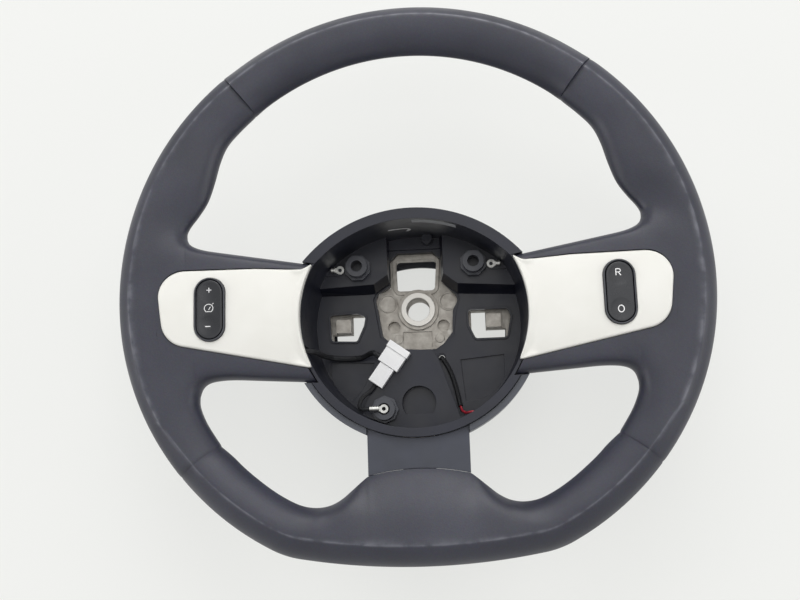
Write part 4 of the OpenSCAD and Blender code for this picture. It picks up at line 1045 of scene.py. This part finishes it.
def pivot_bar(name, half, radius, sides=24):
    """A round bar along the right rocker's hinge line, half its length to either side."""
    turns = np.linspace(0, 2 * math.pi, sides, endpoint=False)
    return stack(name, [[(POD_X + x, -POD_Y - radius * math.cos(t), PIVOT_Z - radius * math.sin(t))
                         for t in turns] for x in (-half, half)])


STROKE_STEP = 0.6
STROKE_DEEP = 0.05


def strokes(name, lines, place, lift=0.03):
    """Thin closed strips along polylines of (points, width); place maps them onto a surface."""
    verts, faces = [], []
    for line, width in lines:
        pts = [np.array(line[0], float)]
        for a, b in zip(line[:-1], line[1:]):
            n = max(1, math.ceil(math.dist(a, b) / STROKE_STEP))
            pts += [mix(np.array(a, float), np.array(b, float), (k + 1) / n) for k in range(n)]
        pts = np.array(pts)
        pts = pts[np.append(True, np.hypot(*np.diff(pts, axis=0).T) > 1e-6)]
        ring = math.dist(pts[0], pts[-1]) < 1e-6
        run = np.diff(pts, axis=0)
        run /= np.hypot(*run.T)[:, None]
        before = np.vstack([run[-1] if ring else run[0], run])
        after = np.vstack([run, run[0] if ring else run[-1]])
        way = before + after
        way /= np.maximum(np.hypot(*way.T), 0.3)[:, None]
        side = np.stack([-way[:, 1], way[:, 0]], 1) * width / 2
        base = len(verts)
        for p, q in zip(pts, side):
            for edge in (p + q, p - q):
                verts += [place(*edge, lift), place(*edge, -STROKE_DEEP)]
        for i in range(len(pts) - 1):
            a, b = base + 4 * i, base + 4 * i + 4
            faces += [(a, b, b + 2, a + 2), (a + 1, a + 3, b + 3, b + 1), (a, a + 1, b + 1, b),
                      (a + 2, b + 2, b + 3, a + 3)]
        last = base + 4 * (len(pts) - 1)
        faces += [(base, base + 2, base + 3, base + 1), (last, last + 1, last + 3, last + 2)]
    return closed_mesh(name, verts, faces)


def arc_line(centre, rx, ry, low, high, n=14):
    """Points along part of an ellipse, angles in degrees."""
    return [(centre[0] + rx * math.cos(t), centre[1] + ry * math.sin(t))
            for t in np.radians(np.linspace(low, high, n))]


def crown_z(p):
    """Height of a trim's crowned face at points."""
    side = p[:, 1] + HUB_DROP
    return (RIM_Z + spoke_front(p[:, 0]) + TRIM_PROUD
            - (TRIM_CROWN_R - np.sqrt(TRIM_CROWN_R ** 2 - side ** 2)))


class WheelSettings(bpy.types.PropertyGroup):
    """Sizes and colours of the wheel that a user would change."""

    fineness: bpy.props.IntProperty(
        name="Fineness", description="Steps of the leather's net to each stretch of its outline", default=4,
        min=2, max=8)
    leather_dark: bpy.props.StringProperty(
        name="Leather, darker", description="Darker tone of the leather, as an sRGB hex value",
        default="#2b2c37")
    leather_light: bpy.props.StringProperty(
        name="Leather, lighter", description="Lighter tone of the leather, as an sRGB hex value",
        default="#383945")
    # Tone of the paler band along the crease: partly wear from hands, partly a painted highlight
    leather_wear_and_highlight: bpy.props.StringProperty(
        name="Leather, rubbed", description="Tone of the rubbed fold, as an sRGB hex value",
        default="#74757e")
    trim_tone: bpy.props.StringProperty(
        name="Trims", description="Tone of the off-white trims, as an sRGB hex value", default="#ebeae3")
    mark_height: bpy.props.FloatProperty(
        name="Mark height", description="Height of the signs on the rockers", default=0.0055, unit="LENGTH",
        min=0.003, max=0.008)


FINISH = {}


def settings():
    """The wheel's settings in the scene."""
    return bpy.context.scene.wheel_settings


class WHEEL_OT_finishes(bpy.types.Operator):
    """Makes the finishes of all pieces."""

    bl_idname = "wheel.finishes"
    bl_label = "Finishes"

    def execute(self, context):
        chosen = settings()
        leather = (chosen.leather_dark, chosen.leather_light, chosen.leather_wear_and_highlight)
        FINISH.update(
            leather=smooth_leather("coated_leather", leather),
            shell=grained_plastic("black_moulded_shell", ("#151721", "#1d1f2c"), 0.7, 0.03, 0.34, gloss=0.4),
            ring=grained_plastic("charcoal_moulded_cover", ("#43464e", "#4c4f57"), 0.7, 0.03, 0.44),
            panel=grained_plastic("blue_grey_spoke_panel", ("#33363f", "#3b3e4a"), 0.7, 0.03, 0.46),
            trim=grained_plastic("off_white_grained_abs", (chosen.trim_tone, "#f0efe9"), 0.6, 0.03, 0.5, 0.8),
            bezel=grained_plastic("grey_satin_bezel", ("#34363c", "#3e4046"), 0.4, 0.01, 0.36, 0.2),
            key=grained_plastic("black_satin_key", ("#17191e", "#1f2127"), 0.4, 0.01, 0.25, 0.3),
            bush=grained_plastic("black_nylon_bush", ("#393b43", "#45474f"), 0.8, 0.02, 0.34),
            nylon=grained_plastic("white_nylon_housing", ("#f3f3f4", "#fafafa"), 1.0, 0.01, 0.4, 0.3),
            alloy=cast_alloy("die_cast_alloy"),
            tin=bare_metal("tinned_steel_strip", ("#a9a9a6", "#c9c9c6"), 0.35),
            sleeve=soft_sleeve("black_woven_sleeve", ("#131417", "#1d1e22"), 0.7),
            red=soft_sleeve("red_wire_insulation", ("#9c1c2c", "#b3263a"), 0.45),
            mark=plain_paint("white_print", ("#f0f0f0", "#fbfbfb"), 0.5),
            label=plain_paint("grey_blank_label", ("#a3a5a8", "#b6b8ba"), 0.6),
        )
        return {"FINISHED"}


POCKET_GAP = 0.4
WALL_GAP = 0.6


class WHEEL_OT_rim(bpy.types.Operator):
    """Builds the four leather sections of the rim."""

    bl_idname = "wheel.rim"
    bl_label = "Leather rim"

    def execute(self, context):
        fine = settings().fineness
        right = quilt("rim_right_leather", *side_section(fine))
        soften(right)
        pocket = drawn_in(trim_outline(0), -POCKET_GAP)
        combine(right, prism("pocket_tool", pocket, RIM_Z - POCKET_DEEP, RIM_Z + 30))
        combine(right, prism("hub_tool", circle((0, -HUB_DROP), WALL_OUT_R + WALL_GAP, 2), 40, 110))
        shade(right)
        left = mirrored(right, "rim_left_leather")
        lines, share = top_section(fine)
        top = ribbon("rim_top_leather", lines, lambda p: grip_front(p) * share(p),
                     lambda p: -grip_rear(p) * share(p), [])
        soften(top)
        lines, path, flange_from = bottom_section(fine)
        last = len(lines) - 1

        def low_height(p, at_flange, grip):
            """The grip's height, drawn down to the flange's, and rounded off along the flare."""
            q = folded(p)
            off_panel = np.hypot(*(q - flange_pt(PANEL_SIDE)).T)
            gap = np.where(q[:, 0] <= PANEL_SIDE, FLANGE_R - np.hypot(*(q - FLANGE_C).T), off_panel)
            return mix(at_flange, grip(p), ease(gap / FLANGE_RUN)) * quarter(edge_share(q, path))

        bottom = ribbon("rim_bottom_leather", lines, lambda p: low_height(p, FLANGE_UP, grip_front),
                        lambda p: -low_height(p, FLANGE_REAR, grip_rear),
                        list(range(flange_from + 1, last - flange_from)))
        soften(bottom)
        for obj, node in ((top, "rim_top"), (left, "rim_left"), (right, "rim_right"), (bottom, "rim_bottom")):
            put(obj, FINISH["leather"])
            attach(obj, "wheel")
            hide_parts(node)
        return {"FINISHED"}


NODE_FINISHES = {
    "ring": ("rear_cover",),
    "shell": ("carrier",),
    "alloy": ("armature",),
    "panel": ("lower_panel",),
    "bush": ("left_guide_bush", "right_guide_bush", "lower_guide_bush"),
    "tin": ("left_terminal", "right_terminal", "lower_terminal"),
    "nylon": ("socket_housing", "plug_housing"),
    "sleeve": ("left_lead", "plug_lead", "right_lead"),
    "red": ("red_lead",),
}
SPLINES = 40
# Lines on the tray's upper wall, as places sideways and up, each with its width
LABEL_LINE = (([(0.4, 71.4), (27.9, 71.4)], 6.4),)
ARROW_LINE = (([(-15.8, 54.9), (-10.9, 53.4), (-5.4, 52.4), (-3.2, 51.4), (-2.4, 48.9), (-3.2, 46.6),
                (-4.2, 44.8)], 1.9),)


class WHEEL_OT_hub(bpy.types.Operator):
    """Finishes the hub's pieces and the lower spoke's panel."""

    bl_idname = "wheel.hub"
    bl_label = "Hub"

    def execute(self, context):
        for finish, nodes in NODE_FINISHES.items():
            for node in nodes:
                dress(node, FINISH[finish])
        plate = evenly(np.array(PLATE_OUTLINE[::-1], float), 200)
        lip = prism("hub_floor_lip", PLATE_CUT, PLATE_Z + 0.9, FLOOR_Z - 2)
        combine(lip, prism("plate_tool", drawn_in(plate, 0.3), PLATE_Z, FLOOR_Z))
        hole = prism("lead_hole_lip", circle(LEAD_HOLE, LEAD_HOLE_R + LEAD_HOLE_LIP, 12), FLOOR_Z - 2,
                     FLOOR_Z - 0.3)
        lead_way = circle(LEAD_HOLE + (0.2, -0.3), LEAD_HOLE_R, 12)
        combine(hole, prism("lead_tool", lead_way, FLOOR_Z - 4, FLOOR_Z + 1))
        label = strokes("hub_label", LABEL_LINE, on_wall, 0.15)
        arrow = strokes("hub_arrow", ARROW_LINE, on_wall, 0.06)
        teeth = repeated("bore_splines", spline_teeth, {
            "Count": SPLINES, "Radius": BORE_R * MM, "Size": (0.5 * MM, 0.55 * MM, (BOSS_H - 3) * MM),
            "Middle": (0, 0, BOSS_H / 2 * MM), "Material": FINISH["alloy"]})
        crimps = []
        for word, place, pitch, count in CRIMPS:
            ribs = repeated(word + "_crimp_ribs", crimp_ribs, {
                "Count": count, "Radius": (BARREL_R + 0.35) * MM, "Width": 0.75 * MM, "Pitch": pitch * MM,
                "Start": tuple(v * MM for v in place), "Material": FINISH["tin"]})
            crimps.append((ribs, "tin"))
        for obj, finish in crimps + [(lip, "shell"), (hole, "shell"), (label, "label"), (arrow, "mark"),
                                     (teeth, "alloy")]:
            put(obj, FINISH[finish])
            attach(obj, "wheel")
        return {"FINISHED"}


# Share of the way to the trim's middle line at each ring of its face, and how often the ring is averaged
TRIM_RINGS = ((0.02, 1), (0.05, 3), (0.08, 6), (0.12, 12), (0.25, 30), (0.4, 60), (0.6, 100), (0.8, 160))
TRIM_MIDDLE = np.array([84.0, -13.0])
TRIM_MIDDLE_RUN = np.array([52.0, 7.0])
TRIM_POINTS = 220


class WHEEL_OT_trims(bpy.types.Operator):
    """Builds the crowned off-white trims of the side spokes."""

    bl_idname = "wheel.trims"
    bl_label = "Spoke trims"

    def execute(self, context):
        base = evenly(rounded(trim_outline(0), 3), TRIM_POINTS)
        inner = evenly(trim_outline(TRIM_WALL, tip=False), TRIM_POINTS)
        low = RIM_Z - POCKET_DEEP

        def by_hub(pts):
            return np.hypot(pts[:, 0], pts[:, 1] + HUB_DROP) < TRIM_FOOT_R

        def foot(pts):
            """The trim's lowest height: on the ring near the hub, and else on the pocket's floor."""
            return np.where(by_hub(pts), RING_Z + GAP, low)

        def face_z(pts):
            """The crown, with a thin lip that stands up along the hub."""
            return crown_z(pts) + TRIM_LIP * ease(1 - nearest(pts, base[by_hub(base)]) / TRIM_LIP_W)

        rings = [at_z(base, foot(base)), at_z(base, mix(foot(base), face_z(base) - TRIM_EDGE, 0.5))]
        for inset, drop in edge_round(TRIM_EDGE, 6):
            pts = drawn_in(base, inset)
            rings.append(at_z(pts, face_z(pts) - drop))

        def middle(pts):
            """The nearest points of the trim's middle line."""
            run = TRIM_MIDDLE_RUN
            along = np.clip((pts - TRIM_MIDDLE) @ run / (run @ run), 0, 1)
            return TRIM_MIDDLE + along[:, None] * run

        face = drawn_in(base, TRIM_EDGE)
        # Each ring nearer to the middle is rounder, so that the outline's tip isn't copied inwards
        for share, passes in TRIM_RINGS:
            pts = mix(face, middle(face), share)
            for _ in range(passes):
                pts = averaged(pts)
            rings.append(at_z(pts, face_z(pts)))
        inside = [at_z(inner, foot(inner))]
        for share in (0.0, 0.2, 0.5, 0.8):
            pts = mix(inner, middle(inner), share)
            inside.append(at_z(pts, crown_z(pts) - TRIM_WALL))
        right = stack("right_trim_shell", inside[::-1] + rings)
        combine(right, prism("pod_tool", capsule(-GAP), low - 5, RIM_Z + 40))
        shade(right, 32)
        left = mirrored(right, "left_trim_shell")
        for obj, node in ((left, "left_trim"), (right, "right_trim")):
            put(obj, FINISH["trim"])
            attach(obj, "wheel")
            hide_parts(node)
        return {"FINISHED"}


RIGHT_MARKS = (
    ([(-1.35, -2), (-1.35, 2), (0.3, 2)] + arc_line((0.3, 1), 1.05, 1, 90, -90, 10) + [(-1.35, 0)], 0.55),
    ([(0.1, 0), (1.5, -2)], 0.55),
)
ROUND_MARK = ((arc_line((0, 0), 1.75, 2.05, 90, 450, 25), 0.55),)
PLUS_MARK = (([(-1.5, 0), (1.5, 0)], 0.5), ([(0, -1.5), (0, 1.5)], 0.5))
MINUS_MARK = (([(-1.65, 0), (1.65, 0)], 0.55),)
GAUGE_MARK = (
    ([(-1.9, -2.1), (1.9, -2.1)] + arc_line((0, 0), 2.7, 2.5, -50, 230, 25) + [(-1.9, -2.1)], 0.4),
    ([(0, -1.1), (1.1, 0.9)], 0.4),
    ([(2.3, 2.4), (3.0, 3.0)], 0.4),
)


class WHEEL_OT_switches(bpy.types.Operator):
    """Builds the switch pods, their rockers and the signs on them."""

    bl_idname = "wheel.switches"
    bl_label = "Switch pods"

    def execute(self, context):
        low = POD_TOP - POD_H
        rings = [at_z(capsule(0), low)]
        rings += [at_z(capsule(i), POD_TOP - d) for i, d in edge_round(POD_EDGE, 4)]
        rings += [at_z(capsule(POD_WALL - i), POD_TOP - d) for i, d in edge_round(POD_INNER_EDGE, 3)[::-1]]
        rings.append(at_z(capsule(POD_WALL), low + 2))
        pod = stack("right_pod_bezel", rings)
        combine(pod, pivot_bar("pivot_tool", POD_W / 2 + 1, PIVOT_R + PIVOT_GAP))
        shade(pod, 32)
        inset, top = POD_WALL + KEY_GAP, POD_TOP - KEY_LOW
        rings = [at_z(capsule(inset), top - KEY_T)]
        rings += [at_z(capsule(inset + i), top - d) for i, d in edge_round(KEY_EDGE, 6)]
        key = stack("right_key_cap", rings)
        for side in (-1, 1):
            centre = np.array([POD_X, -POD_Y + side * (POD_L - POD_W) / 2])
            dish = []
            for r in np.linspace(0.3, DISH_R + 0.4, 10):
                dish.append(at_z(np.array(circle(centre, r, 6)), top - dish_sink(r)))
            dish.append(dish[-1] + (0, 0, 2))
            combine(key, stack("dish_tool", dish))
        combine(key, pivot_bar("pin", POD_W / 2 - 0.2, PIVOT_R), "UNION")
        shade(key, 22)
        scale = settings().mark_height / (5.5 * MM)
        for side, body in ((-1, "left_key"), (1, "right_key")):
            word = "left" if side < 0 else "right"
            bezel = pod if side > 0 else mirrored(pod, "left_pod_bezel")
            cap = key if side > 0 else mirrored(key, "left_key_cap")
            if side < 0:
                signs = ((PLUS_MARK, 125.2, 6.6), (GAUGE_MARK, 125.3, -4.8), (MINUS_MARK, 126.0, -16.0))
            else:
                signs = ((RIGHT_MARKS, 124.5, 6.4), (ROUND_MARK, 125.0, -15.9))
            lines = []
            for marks, x, y in signs:
                for line, width in marks:
                    lines.append(([(side * x + scale * u, y + scale * v) for u, v in line], width))
            signs = strokes(word + "_key_print", lines, on_key)
            for obj, mat, rides in ((bezel, "bezel", "wheel"), (cap, "key", body), (signs, "mark", body)):
                put(obj, FINISH[mat])
                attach(obj, rides)
            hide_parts(word + "_switch_housing")
            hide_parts(word + "_rocker")
        return {"FINISHED"}


def on_key(u, v, lift):
    """Point over a rocker's face, on either side of the wheel."""
    return (u, v, key_top(abs(u), v) + lift)


def on_wall(u, v, lift):
    """Point on the tray's upper wall, from its sideways place and its height."""
    r = WALL_TOP_R - lift
    a = math.asin(u / WALL_TOP_R)
    return (r * math.sin(a), WALL_TOP_Y + r * math.cos(a), v)


SOCKETS = {int: "NodeSocketInt", float: "NodeSocketFloat", tuple: "NodeSocketVector",
           bpy.types.Material: "NodeSocketMaterial"}


def repeated(name, build, sizes):
    """A mesh made by a Geometry Nodes group; build adds its nodes, and sizes holds its named inputs."""
    host = new_object(name, bpy.data.meshes.new(name))
    tree = bpy.data.node_groups.new(name, "GeometryNodeTree")
    sockets = {key: tree.interface.new_socket(key, in_out="INPUT", socket_type=SOCKETS[type(value)])
               for key, value in sizes.items()}
    tree.interface.new_socket("Geometry", in_out="OUTPUT", socket_type="NodeSocketGeometry")
    entry = add(tree, "NodeGroupInput")
    copies = build(tree, entry.outputs)
    real = add(tree, "GeometryNodeRealizeInstances", {"Geometry": copies})
    done = add(tree, "GeometryNodeSetMaterial", {"Geometry": real.outputs[0],
                                                 "Material": entry.outputs["Material"]})
    add(tree, "NodeGroupOutput", {0: done.outputs[0]})
    mod = host.modifiers.new("Repeat", "NODES")
    mod.node_group = tree
    for key, value in sizes.items():
        mod[sockets[key].identifier] = value
    return bake_modifiers(host)


def crimp_ribs(tree, given):
    """Rings crimped round a terminal's barrel, at an even pitch along X."""
    step = add(tree, "ShaderNodeCombineXYZ", {0: given["Pitch"]})
    line = add(tree, "GeometryNodeMeshLine", {"Count": given["Count"], "Start Location": given["Start"],
                                              "Offset": step.outputs[0]})
    ring = add(tree, "GeometryNodeMeshCylinder", {"Vertices": 28, "Radius": given["Radius"],
                                                  "Depth": given["Width"]})
    return add(tree, "GeometryNodeInstanceOnPoints", {"Points": line.outputs[0], "Instance": ring.outputs[0],
                                                      "Rotation": (0, math.pi / 2, 0)}).outputs[0]


def spline_teeth(tree, given):
    """Small bars set round a circle, all facing its middle."""
    ring = add(tree, "GeometryNodeMeshCircle", {"Vertices": given["Count"], "Radius": given["Radius"]})
    bar = add(tree, "GeometryNodeMeshCube", {"Size": given["Size"]})
    place = add(tree, "GeometryNodeInputPosition")
    turn = add(tree, "FunctionNodeAlignRotationToVector", {"Vector": place.outputs[0]}, axis="X",
               pivot_axis="Z")
    bars = add(tree, "GeometryNodeInstanceOnPoints", {"Points": ring.outputs[0], "Instance": bar.outputs[0],
                                                      "Rotation": turn.outputs[0]})
    return add(tree, "GeometryNodeTransform", {"Geometry": bars.outputs[0],
                                               "Translation": given["Middle"]}).outputs[0]


def seen_directly(tree):
    """1 on rays from the camera, mirrors and glass, 0 on those that light the object."""
    path = add(tree, "ShaderNodeLightPath")
    seen = add(tree, "ShaderNodeMath", {0: path.outputs["Is Camera Ray"], 1: path.outputs["Is Glossy Ray"]},
               operation="MAXIMUM")
    return add(tree, "ShaderNodeMath", {0: seen.outputs[0], 1: path.outputs["Is Transmission Ray"]},
               operation="MAXIMUM").outputs[0]


FLOOR_HALF = 3.0
FLOOR_GLOW = 0.72
ROOM_LIGHT = 0.5
ROOM_SLOPE = 0.32
# Each lamp's name, its place in metres, its power in watts and its side in metres
LIGHTS = (("key_light", (0.05, 1.25, 1.05), 10.5, 1.1), ("fill_light", (0.2, 0.3, 1.5), 3, 1.1),
          ("left_light", (-1.35, -0.15, 0.75), 4.5, 0.9), ("right_light", (1.35, -0.15, 0.75), 4.5, 0.9))
LIT_PLACE = Vector((0, 0, 0.05))
# The camera's turns in radians about Z, X and Y, and the rim's middle seen from it, in millimetres
CAMERA_TURNS = (0.0330754, -0.1705345, -0.0653604)
RIM_FROM_CAMERA = Vector((8.078807, 6.868653, -682.0))


class WHEEL_OT_stage(bpy.types.Operator):
    """Sets the floor, the lights and the camera."""

    bl_idname = "wheel.stage"
    bl_label = "Stage"

    def execute(self, context):
        scene = context.scene
        low_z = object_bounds()[0][2]
        mesh = bpy.data.meshes.new("floor")
        corners = ((-1, -1), (1, -1), (1, 1), (-1, 1))
        mesh.from_pydata([(FLOOR_HALF * x, FLOOR_HALF * y, low_z) for x, y in corners], [], [(0, 1, 2, 3)])
        floor = new_object("floor", mesh)
        mat, tree, shader, _ = blank("white_paper_floor")
        shader.inputs["Base Color"].default_value = lin("#f4f4f2")
        shader.inputs["Roughness"].default_value = 0.9
        glow = add(tree, "ShaderNodeEmission", {"Color": lin("#f3f4f1"), "Strength": 1.0})
        share = add(tree, "ShaderNodeMath", {0: seen_directly(tree), 1: FLOOR_GLOW}, operation="MULTIPLY")
        both = add(tree, "ShaderNodeMixShader", {0: share.outputs[0], 1: shader.outputs[0],
                                                 2: glow.outputs[0]})
        tree.links.new(both.outputs[0], tree.nodes["Material Output"].inputs[0])
        put(floor, mat)
        floor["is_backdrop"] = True
        world = bpy.data.worlds.new("studio")
        world.use_nodes = True
        scene.world = world
        tree = world.node_tree
        tree.nodes.clear()
        out = add(tree, "ShaderNodeOutputWorld")
        # The room is brighter behind the wheel's top than on the viewer's side
        way = add(tree, "ShaderNodeSeparateXYZ", {0: add(tree, "ShaderNodeTexCoord").outputs["Generated"]})
        power = add(tree, "ShaderNodeMath", {0: way.outputs[1], 1: ROOM_SLOPE, 2: ROOM_LIGHT},
                    operation="MULTIPLY_ADD")
        soft = add(tree, "ShaderNodeBackground", {"Color": lin("#ffffff"), "Strength": power.outputs[0]})
        white = add(tree, "ShaderNodeBackground", {"Color": lin("#f6f6f4"), "Strength": 1.0})
        both = add(tree, "ShaderNodeMixShader", {0: seen_directly(tree), 1: soft.outputs[0],
                                                 2: white.outputs[0]})
        tree.links.new(both.outputs[0], out.inputs[0])
        for name, place, power, size in LIGHTS:
            light = bpy.data.lights.new(name, "AREA")
            light.energy = power
            light.size = size
            lamp = bpy.data.objects.new(name, light)
            scene.collection.objects.link(lamp)
            lamp.location = place
            lamp.rotation_euler = (LIT_PLACE - Vector(place)).to_track_quat("-Z", "Y").to_euler()
        scene.view_settings.view_transform = "Standard"
        camera = bpy.data.objects.new("camera", bpy.data.cameras.new("camera"))
        scene.collection.objects.link(camera)
        camera.data.sensor_width = 36.0
        camera.data.lens = 49.5
        camera.data.clip_end = 20
        turn, pitch, yaw = CAMERA_TURNS
        tilt = Matrix.Rotation(turn, 3, "Z") @ Matrix.Rotation(pitch, 3, "X") @ Matrix.Rotation(yaw, 3, "Y")
        place = -(tilt.transposed() @ RIM_FROM_CAMERA) + Vector((0, RIM_LIFT, RIM_Z))
        camera.matrix_world = Matrix.Translation(place * MM) @ tilt.transposed().to_4x4()
        scene.camera = camera
        return {"FINISHED"}


OPERATORS = (WHEEL_OT_finishes, WHEEL_OT_rim, WHEEL_OT_hub, WHEEL_OT_trims, WHEEL_OT_switches, WHEEL_OT_stage)


class WHEEL_PT_panel(bpy.types.Panel):
    """Lists the wheel's settings and its pieces."""

    bl_idname = "WHEEL_PT_panel"
    bl_label = "Steering wheel"
    bl_space_type = "VIEW_3D"
    bl_region_type = "UI"
    bl_category = "Wheel"

    def draw(self, context):
        for name in WheelSettings.__annotations__:
            self.layout.prop(settings(), name)
        for operator in OPERATORS:
            self.layout.operator(operator.bl_idname)


CLASSES = (WheelSettings, *OPERATORS, WHEEL_PT_panel)


def register():
    """Registers the classes and the settings."""
    for cls in CLASSES:
        bpy.utils.register_class(cls)
    bpy.types.Scene.wheel_settings = bpy.props.PointerProperty(type=WheelSettings)


def unregister():
    """Takes the classes and the settings away."""
    del bpy.types.Scene.wheel_settings
    for cls in reversed(CLASSES):
        bpy.utils.unregister_class(cls)


def main():
    """Builds every piece in order."""
    register()
    for operator in OPERATORS:
        group, name = operator.bl_idname.split(".")
        getattr(getattr(bpy.ops, group), name)()


if __name__ == "__main__":
    main()
